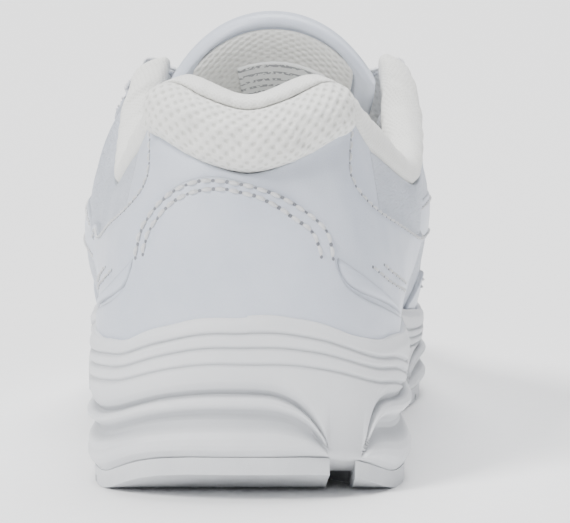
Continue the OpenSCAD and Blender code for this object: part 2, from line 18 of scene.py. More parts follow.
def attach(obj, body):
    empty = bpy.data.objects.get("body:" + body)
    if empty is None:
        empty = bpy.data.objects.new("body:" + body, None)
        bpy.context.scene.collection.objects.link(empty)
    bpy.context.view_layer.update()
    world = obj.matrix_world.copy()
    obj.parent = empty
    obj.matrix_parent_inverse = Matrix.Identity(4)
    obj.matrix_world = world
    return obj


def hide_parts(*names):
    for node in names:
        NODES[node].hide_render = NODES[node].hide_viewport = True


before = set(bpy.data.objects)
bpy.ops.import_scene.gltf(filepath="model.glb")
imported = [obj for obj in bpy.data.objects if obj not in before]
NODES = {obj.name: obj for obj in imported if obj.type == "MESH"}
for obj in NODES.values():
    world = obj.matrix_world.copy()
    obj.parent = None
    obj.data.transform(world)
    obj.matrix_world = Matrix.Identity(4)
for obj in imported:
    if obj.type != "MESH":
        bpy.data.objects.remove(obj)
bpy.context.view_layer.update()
MM = 0.001
BACK = 139.0  # from the back of the heel to the frame's origin

# ---------------------------------------------------------------- the last's surface, as in the CAD

HEEL_X = -2.5
LATERAL_CROWN = 1.4
# along the sole, medial and lateral half widths | top: along, half width, height |
# wall out, up | crown out, down | inset
STATIONS = [
    [0, 0, 0, 9, 0, 97, 4, 24, 4, 24, 5.5],
    [6.5, 25.5, 25.5, 17, 18.5, 101.5, 4, 24, 5, 24, 5.5],
    [27, 39, 39, 40, 28.5, 90, 4, 22, 7, 22, 5.5],
    [60, 40, 40, 69, 36.5, 78, 5, 20, 8, 16, 5.5],
    [92, 37, 40, 93, 36.5, 86, 9, 20, 10, 18, 7],
    [118, 37, 43, 113, 32.5, 101, 17, 24, 13.5, 22, 8],
    [148, 44, 46.5, 146, 19, 84, 15, 24, 36, 9, 8],
    [182, 50, 46.5, 182, 12, 67, 9, 20, 31, 4, 6.5],
    [222, 46, 38, 200, 0, 60, 5, 18, 31, 0, 5.5],
    [261, 33.5, 20, 224, 0, 53, 3, 17, 26, 0, 5.5],
    [278, 7.5, -7.5, 246, 0, 45, 3, 17, 26, 0, 5.5],
]


def smooth(a, b, x):
    k = np.clip((np.asarray(x, float) - a) / (b - a), 0, 1)
    return k * k * (3 - 2 * k)


def unit(p):
    return p / np.maximum(np.linalg.norm(p, axis=-1, keepdims=True), 1e-9)


def mix(a, b, k):
    return a + (b - a) * k


def through(a, b, c, d, f):
    """The curve from b to c that also heeds a and d, at the share f of the way."""
    return 0.5 * (2 * b + (c - a) * f + (2 * a - 5 * b + 4 * c - d) * f**2 + (3 * b - a - 3 * c + d) * f**3)


def link(obj):
    bpy.context.scene.collection.objects.link(obj)


def centre_x(t):
    """Sideways place of the shoe's middle line."""
    return HEEL_X + 6 * smooth(0, 110, t) + 2 * smooth(150, 260, t)


def bed(t):
    """Height of the midsole's inner floor."""
    return 30 - 12.5 * smooth(85, 180, t) + 6 * smooth(215, 285, t)


def under(t):
    """Height of the tread's underside."""
    return (7 * (1 - smooth(0, 24, t)) + 14 * smooth(195, 300, t)
            + 2.5 * smooth(92, 108, t) * (1 - smooth(138, 156, t)))


def rubber_top(t):
    return under(t) + 4.2


def loop_table():
    """One row for each of the 20 places round the shoe, from the stations of both sides."""
    rows = []
    for i in range(20):
        j = i if i <= 10 else 20 - i
        side = 1 if i <= 10 else -1
        r = STATIONS[j]
        o = np.array([HEEL_X + (r[1] if side > 0 else -r[2]), r[0]])
        top = np.array([float(centre_x(r[3])) + side * r[4], r[3]])
        d = unit(o - (top if j < 3 else np.array([float(centre_x(r[3])), r[3]])))
        slope = -0.27 if j >= 8 else 0
        crown = r[8] * (LATERAL_CROWN if side < 0 and j in (4, 5) else 1)
        rows.append([*o, *top, r[5], r[6], r[7], d[0] * crown, d[1] * crown, slope * d[1] * crown - r[9],
                     r[10]])
    return np.array(rows)


LOOP = loop_table()


def loop_at(u):
    u = np.asarray(u, float) % 20
    i = np.floor(u).astype(int)
    f = (u - i)[..., None]
    a, b, c, d = LOOP[(i - 1) % 20], LOOP[i % 20], LOOP[(i + 1) % 20], LOOP[(i + 2) % 20]
    return through(a, b, c, d, f)


def outline(u):
    return loop_at(u)[..., :2]


def plan_normal(u):
    d = outline(np.asarray(u) + 1e-3) - outline(np.asarray(u) - 1e-3)
    return unit(np.stack([d[..., 1], -d[..., 0]], -1))


def handles(u):
    r = loop_at(u)
    n = plan_normal(u)
    foot = r[..., :2] - r[..., 10:11] * n
    f = np.concatenate([foot, bed(foot[..., 1])[..., None] + 0.35], -1)
    top = r[..., 2:5]
    return f, f + np.concatenate([n * r[..., 5:6], r[..., 6:7]], -1), top + r[..., 7:10], top


def bezier(u, v):
    f, p, q, t = handles(u)
    w = v[..., None]
    return (1 - w) ** 3 * f + 3 * (1 - w) ** 2 * w * p + 3 * (1 - w) * w**2 * q + w**3 * t


def bezier_slope(u, v):
    f, p, q, t = handles(u)
    w = v[..., None]
    return 3 * (1 - w) ** 2 * (p - f) + 6 * (1 - w) * w * (q - p) + 3 * w**2 * (t - q)


def normals(u, v):
    c = np.minimum(v, 0.97)
    e = 2e-3

    def raw(u):
        return unit(np.cross(bezier(u + e, c) - bezier(u - e, c), bezier_slope(u, c)))

    n = raw(u)
    near = np.abs(u % 20 - 10) < 2.5
    if near.any():
        w = 0.5 * smooth(0.8, 1, v) * (1 - smooth(1.6, 2.5, np.abs(u % 20 - 10)))
        n = np.where(near[..., None], unit(n * (1 - w[..., None]) + raw(20 - u) * w[..., None]), n)
    return n


def skin(u, v, depth=0.0):
    """A point off the surface by depth; v past 1 runs on above the top edge."""
    u, v, depth = np.broadcast_arrays(np.asarray(u, float), np.asarray(v, float), np.asarray(depth, float))
    c = np.minimum(v, 1)
    over = (v - c)[..., None] * 60 * unit(bezier_slope(u, np.ones_like(v)))
    p = bezier(u, c) + over + depth[..., None] * normals(u, v)
    p = p.copy()
    p[..., 1] -= BACK
    return p


def pad_low(u):
    return 0.95 - 0.215 * np.sqrt(np.maximum(0, 1 - (np.asarray(u) / 1.3) ** 2))


def leather_top(u):
    r = np.abs(np.where(np.asarray(u) > 10, np.asarray(u) - 20, u))
    side = np.interp(r, [1.26, 1.36, 1.8, 3.5, 4.4, 4.9, 5.0], [0.895, 0.93, 0.875, 0.87, 0.86, 0.985, 1.0])
    return np.where(r < 1.26, pad_low(r), side)


# ---------------------------------------------------------------- curves and meshes


def spline(points, n=40):
    """A smooth curve through points, n samples for each span."""
    p = np.asarray(points, float)
    p = np.vstack([2 * p[0] - p[1], p, 2 * p[-1] - p[-2]])
    out = []
    for i in range(1, len(p) - 2):
        f = np.linspace(0, 1, n, endpoint=False)[:, None]
        a, b, c, d = p[i - 1], p[i], p[i + 1], p[i + 2]
        out.append(through(a, b, c, d, f))
    out.append(p[-2][None])
    return np.vstack(out)


def polyline(points, n=40):
    p = np.asarray(points, float)
    steps = np.linspace(0, 1, n, endpoint=False)[:, None]
    return np.vstack([mix(a, b, steps) for a, b in zip(p[:-1], p[1:])] + [p[-1:]])


def lengths(points):
    return np.concatenate([[0], np.cumsum(np.linalg.norm(np.diff(points, axis=0), axis=1))])


def at_lengths(values, s, where):
    return np.stack([np.interp(where, s, values[:, k]) for k in range(values.shape[1])], -1)


def nearest(points, targets):
    """Distance from each point to the nearest target."""
    shape = points.shape[:-1]
    flat = points.reshape(-1, 3)
    best = np.full(len(flat), 1e9)
    for start in range(0, len(targets), 64):
        d = np.linalg.norm(flat[:, None] - targets[None, start : start + 64], axis=2)
        best = np.minimum(best, d.min(1))
    return best.reshape(shape)


def add_mesh(name, points, faces, material, body="shoe", coords=None, edge=None):
    """A piece from points in millimetres, with weave coordinates and a mark for its edges and hollows, which
    the materials darken as wear and painted shade.
    """
    mesh = bpy.data.meshes.new(name)
    mesh.from_pydata((np.asarray(points, float) * MM).tolist(), [], [tuple(int(k) for k in f) for f in faces])
    mesh.validate()
    if coords is not None:
        layer = mesh.attributes.new("weave", "FLOAT_VECTOR", "POINT")
        c = np.zeros((len(mesh.vertices), 3), np.float32)
        c[:, : coords.shape[1]] = coords
        layer.data.foreach_set("vector", c.ravel())
    if edge is not None:
        layer = mesh.attributes.new("edge", "FLOAT", "POINT")
        layer.data.foreach_set("value", np.asarray(edge, np.float32).ravel())
    obj = bpy.data.objects.new(name, mesh)
    link(obj)
    mesh.materials.append(material)
    mesh.polygons.foreach_set("use_smooth", np.ones(len(mesh.polygons), bool))
    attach(obj, body)
    return obj


def grid_faces(n, m, start=0, flip=False, close_n=False, close_m=False):
    i = np.arange(n if close_n else n - 1)
    j = np.arange(m if close_m else m - 1)
    a, b = np.meshgrid(i, j, indexing="ij")
    a2, b2 = (a + 1) % n, (b + 1) % m
    quads = np.stack([a * m + b, a2 * m + b, a2 * m + b2, a * m + b2], -1).reshape(-1, 4) + start
    return quads[:, ::-1] if flip else quads


def solid_grid(outer, inner):
    """Points and faces of the solid between two grids of the same shape."""
    n, m = outer.shape[:2]
    k = n * m
    faces = [grid_faces(n, m), grid_faces(n, m, k, flip=True)]
    i = np.arange(n - 1)
    j = np.arange(m - 1)
    a = i * m
    faces.append(np.stack([k + a, k + a + m, a + m, a], -1))
    a = i * m + m - 1
    faces.append(np.stack([a, a + m, k + a + m, k + a], -1))
    faces.append(np.stack([j, j + 1, k + j + 1, k + j], -1))
    a = (n - 1) * m + j
    faces.append(np.stack([a + 1, a, k + a, k + a + 1], -1))
    return np.vstack([outer.reshape(-1, 3), inner.reshape(-1, 3)]), np.vstack(faces)


EDGE = np.array([0, 0.12, 0.32, 0.62, 1.05, 1.6])


def spaced(length, step):
    """Places along a length, close together near both ends."""
    edge = EDGE * min(1, length / 6)
    middle = max(2, int(round((length - 2 * edge[-1]) / step)))
    inside = np.linspace(edge[-1], length - edge[-1], middle + 1)[1:-1]
    return np.concatenate([edge, inside, length - edge[::-1]])


def crown(s, r=1.0):
    """Rounded edge: 0 at the edge to 1 at r from it."""
    return np.sqrt(np.clip(1 - (1 - np.clip(s / r, 0, 1)) ** 2, 0, 1))


def waves(u, v, size=1.0):
    """Slow undulation that leather over padding has."""
    return size * (
        0.14 * np.sin(5.1 * u + 7.3 * v + 0.7)
        + 0.10 * np.sin(9.7 * u - 11.0 * v + 2.1)
        + 0.06 * np.sin(17.3 * u + 19.0 * v + 4.0)
    )


PANELS = {}


def keep_surface(name, points, faces):
    PANELS[name] = BVHTree.FromPolygons([tuple(p) for p in points.tolist()],
                                        [tuple(f) for f in np.asarray(faces).tolist()])


def twice(coords):
    """Coordinates for both layers of a solid grid."""
    return np.vstack([coords, coords])


def run_across(points):
    """Length along each row of a grid of points."""
    steps = np.linalg.norm(np.diff(points, axis=1), axis=2)
    return np.concatenate([np.zeros((len(points), 1)), np.cumsum(steps, axis=1)], 1)


def on_surface(names, points, ups, reach=6.0):
    """Points moved along their up directions to the outermost named panel, or left where none is met."""
    out = points.copy()
    for i, (p, n) in enumerate(zip(points, ups)):
        best = None
        for name in names:
            hit = PANELS[name].ray_cast(Vector(p + reach * n), Vector(-n), 2 * reach)
            if hit[0] is not None and (best is None or hit[3] < best[1]):
                best = (hit[0], hit[3])
        if best:
            out[i] = best[0]
    return out


def panel(name, low, high, lift, thick, material, replaces, step=1.25, seams=(), pits=(), wave=1.0,
          curved=True,
          radius=1.0, back=0.5, puff=0.0):
    """A leather panel between two curves in (u, v) with matched points, with rounded edges and sunk seams."""
    trace = spline if curved else polyline
    lo, hi = trace(low), trace(high)
    line = skin(hi[:, 0], hi[:, 1])
    s = lengths(line)
    where = spaced(s[-1], step)
    lo, hi = at_lengths(lo, s, where), at_lengths(hi, s, where)

    def height(a, b):
        line = skin(np.linspace(a[0], b[0], 12), np.linspace(a[1], b[1], 12))
        return np.sum(np.linalg.norm(np.diff(line, axis=0), axis=1))

    tall = np.array([height(a, b) for a, b in zip(lo, hi)])
    rows = len(spaced(tall.max(), step))
    middle = np.linspace(0, 1, rows - 2 * len(EDGE) + 2)[1:-1]
    U, V, S = [], [], []
    for a, b, h in zip(lo, hi, tall):
        e = EDGE * min(1, h / 6)
        at = np.concatenate([e, mix(e[-1], h - e[-1], middle), h - e[::-1]])
        k = at / h
        U.append(mix(a[0], b[0], k))
        V.append(mix(a[1], b[1], k))
        S.append(np.minimum(at, h - at))
    U, V, S = np.array(U), np.array(V), np.array(S)
    ends = np.minimum(where, where[-1] - where)[:, None]
    S = np.minimum(S, ends)
    depth = (lift + thick * crown(S, radius) + waves(U, V, 0.9 * wave) * smooth(0, 5, S)
             + puff * smooth(0, 9, S))
    base = skin(U, V, lift)
    for seam in seams:
        depth = depth - 0.3 * np.exp(-((nearest(base, seam) / 0.75) ** 2))
    pit_shade = np.zeros_like(depth)
    for pit in pits:
        d = np.linalg.norm(base - pit, axis=2)
        k = 1 - smooth(1.9, 2.6, d)
        pit_shade = np.maximum(pit_shade, k)
        depth = depth - 2.6 * k + 0.25 * np.exp(-(((d - 3.0) / 0.5) ** 2))
    outer = skin(U, V, depth)
    inner = skin(U, V, np.minimum(depth - 0.3, lift - back))
    points, faces = solid_grid(outer, inner)
    # grey mark: cut edges darkened as wear and as painted shade where panels meet, eyelet pits darkened with
    # painted shade, and the whole back face marked
    edge_wear_and_shade = np.maximum(1 - smooth(0, 0.9, S), pit_shade)
    coords = np.stack([np.broadcast_to(where[:, None], U.shape), V * 80], -1)
    obj = add_mesh(name, points, faces, material, coords=np.vstack([coords.reshape(-1, 2)] * 2),
                   edge=np.concatenate([edge_wear_and_shade.ravel(), np.ones(edge_wear_and_shade.size)]))
    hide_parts(replaces)
    n, m = U.shape
    keep_surface(name, points[: n * m], faces[: (n - 1) * (m - 1)])


# ---------------------------------------------------------------- materials


def new_material(name):
    m = bpy.data.materials.new(name)
    m.use_nodes = True
    tree = m.node_tree
    return m, tree, tree.nodes["Principled BSDF"]


def node(tree, kind, **values):
    n = tree.nodes.new(kind)
    for key, value in values.items():
        if key in n.inputs:
            n.inputs[key].default_value = value
        else:
            setattr(n, key, value)
    return n


def math_node(tree, op, a, b=None):
    n = tree.nodes.new("ShaderNodeMath")
    n.operation = op
    for k, x in enumerate([a, b]):
        if x is None:
            continue
        if isinstance(x, (int, float)):
            n.inputs[k].default_value = x
        else:
            tree.links.new(x, n.inputs[k])
    return n.outputs[0]


def times(tree, a, b):
    return math_node(tree, "MULTIPLY", a, b)


def plus(tree, a, b):
    return math_node(tree, "ADD", a, b)


def in_mm(tree):
    """Object coordinates in millimetres."""
    coord = tree.nodes.new("ShaderNodeTexCoord")
    scale = tree.nodes.new("ShaderNodeVectorMath")
    scale.operation = "SCALE"
    scale.inputs["Scale"].default_value = 1000
    tree.links.new(coord.outputs["Object"], scale.inputs[0])
    return scale.outputs[0]


def weave_mm(tree):
    a = tree.nodes.new("ShaderNodeAttribute")
    a.attribute_name = "weave"
    return a.outputs["Vector"]


def ramp(tree, factor, stops):
    r = tree.nodes.new("ShaderNodeValToRGB")
    while len(r.color_ramp.elements) < len(stops):
        r.color_ramp.elements.new(0.5)
    for e, (at, colour) in zip(r.color_ramp.elements, stops):
        e.position = at
        e.color = (*colour, 1)
    tree.links.new(factor, r.inputs[0])
    return r.outputs[0]


def bump(tree, shader, height, strength, distance):
    b = tree.nodes.new("ShaderNodeBump")
    b.inputs["Strength"].default_value = strength
    b.inputs["Distance"].default_value = distance
    tree.links.new(height, b.inputs["Height"])
    tree.links.new(b.outputs[0], shader.inputs["Normal"])


def noise(tree, where, scale, detail=3.0, rough=0.5):
    n = node(tree, "ShaderNodeTexNoise", Scale=scale, Detail=detail, Roughness=rough)
    tree.links.new(where, n.inputs["Vector"])
    return n.outputs["Fac"]


def voronoi(tree, where, scale, feature):
    n = tree.nodes.new("ShaderNodeTexVoronoi")
    n.feature = feature
    n.inputs["Scale"].default_value = scale
    tree.links.new(where, n.inputs["Vector"])
    return n.outputs["Distance"]


def wear_and_shade_mark(tree):
    a = tree.nodes.new("ShaderNodeAttribute")
    a.attribute_name = "edge"
    return a.outputs["Fac"]


def mix_colour(tree, factor, a, b):
    m = tree.nodes.new("ShaderNodeMix")
    m.data_type = "RGBA"
    tree.links.new(factor, m.inputs["Factor"])
    for socket, x in ((m.inputs["A"], a), (m.inputs["B"], b)):
        if isinstance(x, tuple):
            socket.default_value = (*x, 1)
        else:
            tree.links.new(x, socket)
    return m.outputs["Result"]


def leather(name, light, dark, pebble, grain, rough):
    """Coated leather: soft mottling, a fine or tumbled grain, greyer cut edges that are partly wear and
    partly painted shade, and painted shade in pits and grooves.
    """
    m, tree, shader = new_material(name)
    mm = in_mm(tree)
    mottle = noise(tree, mm, 0.045, 4.0, 0.55)
    colour = ramp(tree, mottle, [(0.32, dark), (0.68, light)])
    # grey where the edge mark is set: wear on cut edges, and painted shade along seams, in eyelet pits and in
    # the tongue's groove
    colour = mix_colour(tree, times(tree, wear_and_shade_mark(tree), 0.75), colour, (0.36, 0.38, 0.42))
    tree.links.new(colour, shader.inputs["Base Color"])
    fine = noise(tree, mm, 2.6, 5.0, 0.6)
    tree.links.new(plus(tree, times(tree, fine, 0.16), rough - 0.08), shader.inputs["Roughness"])
    cells = voronoi(tree, mm, pebble, "DISTANCE_TO_EDGE")
    grainy = math_node(tree, "MINIMUM", times(tree, cells, 3.0), 0.5)
    height = plus(tree, grainy, times(tree, fine, 0.5))
    height = plus(tree, height, times(tree, noise(tree, mm, 0.35, 3.0), 0.8))
    bump(tree, shader, height, grain, 0.0004)
    shader.inputs["Specular IOR Level"].default_value = 0.45
    shader.inputs["Coat Weight"].default_value = 0.12
    shader.inputs["Coat Roughness"].default_value = 0.35
    return m


def mesh_fabric(name, light, dark, pitch_x, pitch_y, strength, sheen=0.25):
    """Bird's-eye mesh: rows of small sunk dots set like brickwork, each a knot of yarn apart, darkened with
    painted shade.
    """
    m, tree, shader = new_material(name)
    w = weave_mm(tree)
    split = tree.nodes.new("ShaderNodeSeparateXYZ")
    tree.links.new(w, split.inputs[0])
    wobble = times(tree, math_node(tree, "SUBTRACT", noise(tree, in_mm(tree), 0.6, 2.0), 0.5), 0.9)
    x = times(tree, plus(tree, split.outputs[0], wobble), 2 * math.pi / pitch_x)
    y = times(tree, plus(tree, split.outputs[1], wobble), 2 * math.pi / pitch_y)
    knots = plus(tree, math_node(tree, "COSINE", plus(tree, x, y)),
                      math_node(tree, "COSINE", math_node(tree, "SUBTRACT", x, y)))
    level = plus(tree, times(tree, knots, 0.25), 0.5)
    yarn = noise(tree, in_mm(tree), 5.0, 4.0, 0.6)
    # the dark colour in the sunk dots is painted shade
    colour = ramp(tree, level, [(0.12, dark), (0.42, light), (1.0, light)])
    shade = ramp(tree, yarn, [(0.3, (0.9, 0.9, 0.9)), (0.7, (1, 1, 1))])
    product = tree.nodes.new("ShaderNodeMix")
    product.data_type = "RGBA"
    product.blend_type = "MULTIPLY"
    product.inputs["Factor"].default_value = 1
    tree.links.new(colour, product.inputs["A"])
    tree.links.new(shade, product.inputs["B"])
    tree.links.new(product.outputs["Result"], shader.inputs["Base Color"])
    height = plus(tree, level, times(tree, yarn, 0.25))
    bump(tree, shader, height, strength, 0.0005)
    shader.inputs["Roughness"].default_value = 0.88
    shader.inputs["Sheen Weight"].default_value = sheen
    shader.inputs["Sheen Roughness"].default_value = 0.5
    shader.inputs["Specular IOR Level"].default_value = 0.25
    return m


def moulded(name, light, dark, rough, scale, strength, speckle=0.0, groove_shade=0.0):
    """Moulded foam or rubber: faint flow marks, a fine matte skin, and painted shade in its grooves."""
    m, tree, shader = new_material(name)
    mm = in_mm(tree)
    mottle = noise(tree, mm, 0.06, 4.0, 0.6)
    colour = ramp(tree, mottle, [(0.3, dark), (0.7, light)])
    if speckle:
        dots = ramp(tree, noise(tree, mm, 3.2, 2.0), [(0.62, (0, 0, 0)), (0.72, (1, 1, 1))])
        colour = mix_colour(tree, times(tree, dots, speckle), colour, tuple(0.72 * c for c in dark))
    # painted shade: grey mixed in where the mesh's edge mark sets the grooves and creases
    if groove_shade:
        colour = mix_colour(tree, times(tree, wear_and_shade_mark(tree), groove_shade), colour, (0.40, 0.415, 0.44))
    tree.links.new(colour, shader.inputs["Base Color"])
    skin_noise = noise(tree, mm, scale, 5.0, 0.65)
    tree.links.new(plus(tree, times(tree, skin_noise, 0.18), rough - 0.09), shader.inputs["Roughness"])
    bump(tree, shader, plus(tree, skin_noise, times(tree, mottle, 2.0)), strength, 0.0003)
    shader.inputs["Specular IOR Level"].default_value = 0.4
    return m


def woven(name, light, dark, across, along):
    """Flat woven lace: fine diagonal ribs from its weave coordinates, darker between the ribs with painted
    shade.
    """
    m, tree, shader = new_material(name)
    split = tree.nodes.new("ShaderNodeSeparateXYZ")
    tree.links.new(weave_mm(tree), split.inputs[0])
    x = times(tree, split.outputs[0], 2 * math.pi / along)
    y = times(tree, math_node(tree, "ABSOLUTE", split.outputs[1]), 2 * math.pi / across)
    ribs = math_node(tree, "COSINE", plus(tree, x, y))
    cross = math_node(tree, "COSINE", times(tree, y, 2.0))
    level = plus(tree, times(tree, plus(tree, ribs, cross), 0.25), 0.5)
    # the dark colour between the ribs is painted shade
    colour = ramp(tree, level, [(0.1, dark), (0.5, light)])
    tree.links.new(colour, shader.inputs["Base Color"])
    bump(tree, shader, level, 0.6, 0.0003)
    shader.inputs["Roughness"].default_value = 0.8
    shader.inputs["Sheen Weight"].default_value = 0.2
    return m


LEATHER = leather("leather_smooth", (0.655, 0.695, 0.785), (0.575, 0.62, 0.715), 1.5, 0.22, 0.36)
TUMBLED = leather("leather_tumbled", (0.645, 0.685, 0.77), (0.55, 0.595, 0.685), 0.75, 1.2, 0.44)
PAD_MESH = mesh_fabric("mesh_birdseye", (0.87, 0.87, 0.84), (0.68, 0.68, 0.645), 3.0, 3.2, 0.7)
ROLL_KNIT = mesh_fabric("collar_knit", (0.87, 0.87, 0.84), (0.78, 0.78, 0.745), 1.3, 1.3, 0.25)
LINING = mesh_fabric("lining_mesh", (0.83, 0.83, 0.80), (0.70, 0.70, 0.67), 3.0, 2.6, 0.6)
FOAM_WALL = moulded("midsole_foam_skin", (0.78, 0.79, 0.81), (0.725, 0.74, 0.765), 0.48, 4.0, 0.3, groove_shade=0.6)
RUBBER = moulded("outsole_rubber_skin", (0.72, 0.735, 0.755), (0.64, 0.655, 0.68), 0.5, 3.0, 0.4, 0.25)
SHANK = moulded("shank_plastic", (0.72, 0.74, 0.77), (0.65, 0.67, 0.70), 0.4, 2.0, 0.3)
BOARD = moulded("fibre_board", (0.66, 0.61, 0.52), (0.55, 0.50, 0.42), 0.85, 1.2, 0.8, 0.5)
THREAD = woven("stitch_thread", (0.88, 0.885, 0.90), (0.7, 0.71, 0.73), 0.5, 0.5)
# painted shade: dark discs set into the needle holes and perforations
HOLE_SHADE = moulded("stitch_hole_shadow", (0.26, 0.27, 0.30), (0.2, 0.21, 0.235), 0.9, 3.0, 0.2)
LACE = woven("lace_weave", (0.88, 0.89, 0.91), (0.6, 0.61, 0.64), 2.2, 1.5)
SOCK = mesh_fabric("insole_cover_knit", (0.78, 0.78, 0.76), (0.6, 0.6, 0.58), 1.8, 1.8, 0.4)

# ---------------------------------------------------------------- stitching

STITCHES = []


def seam_line(uv, lift):
    """Points of a seam, half a millimetre apart."""
    c = spline(uv, 30)
    s = lengths(skin(c[:, 0], c[:, 1], lift))
    where = np.arange(0, s[-1], 0.5)
    q = at_lengths(c, s, where)
    return skin(q[:, 0], q[:, 1], lift)


def stitch_row(points, ups, pitch=3.1, thread=0.36, long=0.74):
    """Keeps one stitch for each pitch along a line of points, and gives the places between the stitches."""
    s = lengths(points)
    count = max(1, int(round(s[-1] / pitch)))
    marks = np.linspace(0, s[-1], count + 1)
    for a, b in zip(marks[:-1], marks[1:]):
        k = np.linspace(0, 1, 7)
        where = mix(mix(a, b, 0.5 - long / 2), mix(a, b, 0.5 + long / 2), k)
        STITCHES.append((at_lengths(points, s, where), unit(at_lengths(ups, s, where)), k, thread))
    return at_lengths(points, s, marks), unit(at_lengths(ups, s, marks))


HOLES = []


def stitch_seam(uv, names, pitch=3.1, thread=0.36, holes=0.42):
    c = spline(uv, 12)
    n = normals(c[:, 0], c[:, 1])
    p = on_surface(names, skin(c[:, 0], c[:, 1], 1.0), n)
    where, up = stitch_row(p, n, pitch, thread)
    HOLES.append((where, up, holes))


def build_stitches():
    """All the stitches as one mesh of thread, and dark painted-shade discs for all the needle holes and
    perforations as another.
    """
    points, faces, coords = [], [], []
    sides = 6
    base = 0
    for path, up, k, thread in STITCHES:
        tangent = unit(np.gradient(path, axis=0))
        side = unit(np.cross(tangent, up))
        arch = np.sin(np.pi * k) ** 0.6
        centre = path + up * ((arch * 0.42 - 0.12)[:, None])
        radius = thread * (0.55 + 0.45 * arch)
        for i, c in enumerate(centre):
            a = np.arange(sides) * 2 * math.pi / sides
            ring = c + radius[i] * (np.cos(a)[:, None] * side[i] + np.sin(a)[:, None] * up[i])
            points.append(ring)
            coords.append(np.stack([np.full(sides, k[i] * 3), a], -1))
        n = len(centre)
        faces += grid_faces(n, sides, base, close_m=True, flip=True).tolist()
        faces += [tuple(base + j for j in range(sides)),
                  tuple(base + (n - 1) * sides + j for j in reversed(range(sides)))]
        base += n * sides
    add_mesh("upper_stitching", np.vstack(points), faces, THREAD, coords=np.vstack(coords))
    points, faces = [], []
    base = 0
    rng = np.random.default_rng(11)
    for where, up, size in HOLES:
        for p, n in zip(where, up):
            p = p + unit(np.cross(n, rng.normal(size=3))) * 0.12 * rng.random()
            x = unit(np.cross(n, [0.3, 0.2, 1.0]))
            y = np.cross(n, x)
            a = np.arange(8) * math.pi / 4
            ring = p + size * (0.8 + 0.3 * rng.random()) * (np.cos(a)[:, None] * x + np.sin(a)[:, None] * y)
            points += [ring - 0.5 * n, ring + 0.03 * n, p + 0.6 * (ring - p) + 0.1 * n, (p - 0.5 * n)[None],
                       (p + 0.12 * n)[None]]
            for k in range(8):
                j = (k + 1) % 8
                faces.append((base + k, base + j, base + 8 + j, base + 8 + k))
                faces.append((base + 8 + k, base + 8 + j, base + 16 + j, base + 16 + k))
                faces.append((base + j, base + k, base + 24))
                faces.append((base + 16 + k, base + 16 + j, base + 25))
            base += 26
    add_mesh("stitch_hole_shade", np.vstack(points), faces, HOLE_SHADE)


# ---------------------------------------------------------------- midsole


def signed(u):
    return np.where(u > 10, u - 20, u)


def rim(u):
    r = np.abs(signed(u))
    t = outline(u)[..., 1]
    return (bed(t) + 8.5 + 7 * (1 - smooth(0.2, 1.5, r)) - 0.7 * smooth(0.8, 1.6, r)
            * (1 - smooth(1.9, 2.6, r))
            + 2 * smooth(9, 10, r))


# the arches moulded into the wall: start, end, how far the shoulders reach in from them,
# height as a share of the wall
ARCHES = [(-4.35, 0.765, 1.3, 0.86, 0.445), (1.15, 4.3, 0.62, 1.2, 0.54), (-9.4, -5.9, 1.2, 1.2, 0.5),
          (5.9, 9.4, 1.2, 1.2, 0.5)]


def arch_height(r):
    """Height of the arch over the wall at r, and 0 between the arches."""
    h = np.zeros_like(r)
    for a, b, left, right, high in ARCHES:
        inside = (r > a) & (r < b)
        x = np.where(r < a + left, (a + left - r) / left, np.where(r > b - right, (r - b + right) / right, 0))
        h = np.where(inside, high * np.clip(1 - np.clip(x, 0, 1) ** 3.2, 0, 1) ** 0.78, h)
    return h


# the grooves run round the shoe from the lateral toe to the medial toe
GROOVE_AT = np.linspace(-10, 10, 401)


def groove(heights):
    """Heights of a groove, as shares of the wall, at GROOVE_AT."""
    at = [-10, -4, -2.35, -1.8, -0.9, 0, 0.9, 1.8, 2.35, 4, 10]
    line = np.interp(GROOVE_AT, at, heights)
    return np.convolve(np.pad(line, 8, mode="edge"), np.hanning(17) / np.hanning(17).sum(), "valid")


GROOVES = [
    groove([0.80, 0.82, 0.85, 0.893, 0.888, 0.883, 0.880, 0.862, 0.74, 0.75, 0.80]),
    groove([0.69, 0.72, 0.76, 0.795, 0.785, 0.778, 0.780, 0.785, 0.655, 0.66, 0.69]),
    groove([0.58, 0.61, 0.65, 0.69, 0.672, 0.659, 0.665, 0.68, 0.57, 0.57, 0.58]),
]


def wall_inset(u, f):
    """How far the wall stands in from its widest, by place round the shoe and share of its height."""
    r = signed(u)
    out = np.zeros_like(f)
    for heights, deep in zip(GROOVES, (0.85, 0.8, 0.75)):
        g = np.interp(r, GROOVE_AT, heights)
        out += deep * np.exp(-(((f - g) / 0.0135) ** 2)) + 0.18 * np.exp(-(((f - g) / 0.035) ** 2))
    h = arch_height(r)
    has = smooth(0.02, 0.16, h)
    q = f / np.maximum(h, 0.02)
    profile = np.interp(q, [0, 0.1, 0.2, 0.3, 0.4, 0.5, 0.6, 0.68, 0.75, 0.8, 0.86, 0.92, 0.97, 1.0, 1.03,
                            1.1, 1.22, 1.4, 9],
                        [0.7, 0.1, -0.3, -0.35, 0.1, 0.9, 1.5, 1.55, 1.1, 0.35, -0.3, -0.4, 0.2, 1.5, 1.4,
                         0.65, 0.2, 0.0, 0.0])
    # a second small ridge in the valley, fading out towards the middle of the heel
    profile = (profile
               - 0.9 * np.exp(-(((q - 0.5) / 0.09) ** 2)) * smooth(-0.9, -1.9, r) * smooth(-4.2, -3.4, r))
    out += has * profile * 1.6
    # between the arches the wall runs smoothly down and in, into the gap in the tread
    gap = (1 - has) * (1 - smooth(0.0, 0.5, f))
    out += gap * 0.9
    out += 0.9 * smooth(0.9, 1.0, f) + 0.5 * (1 - smooth(0, 0.06, f))
    return out


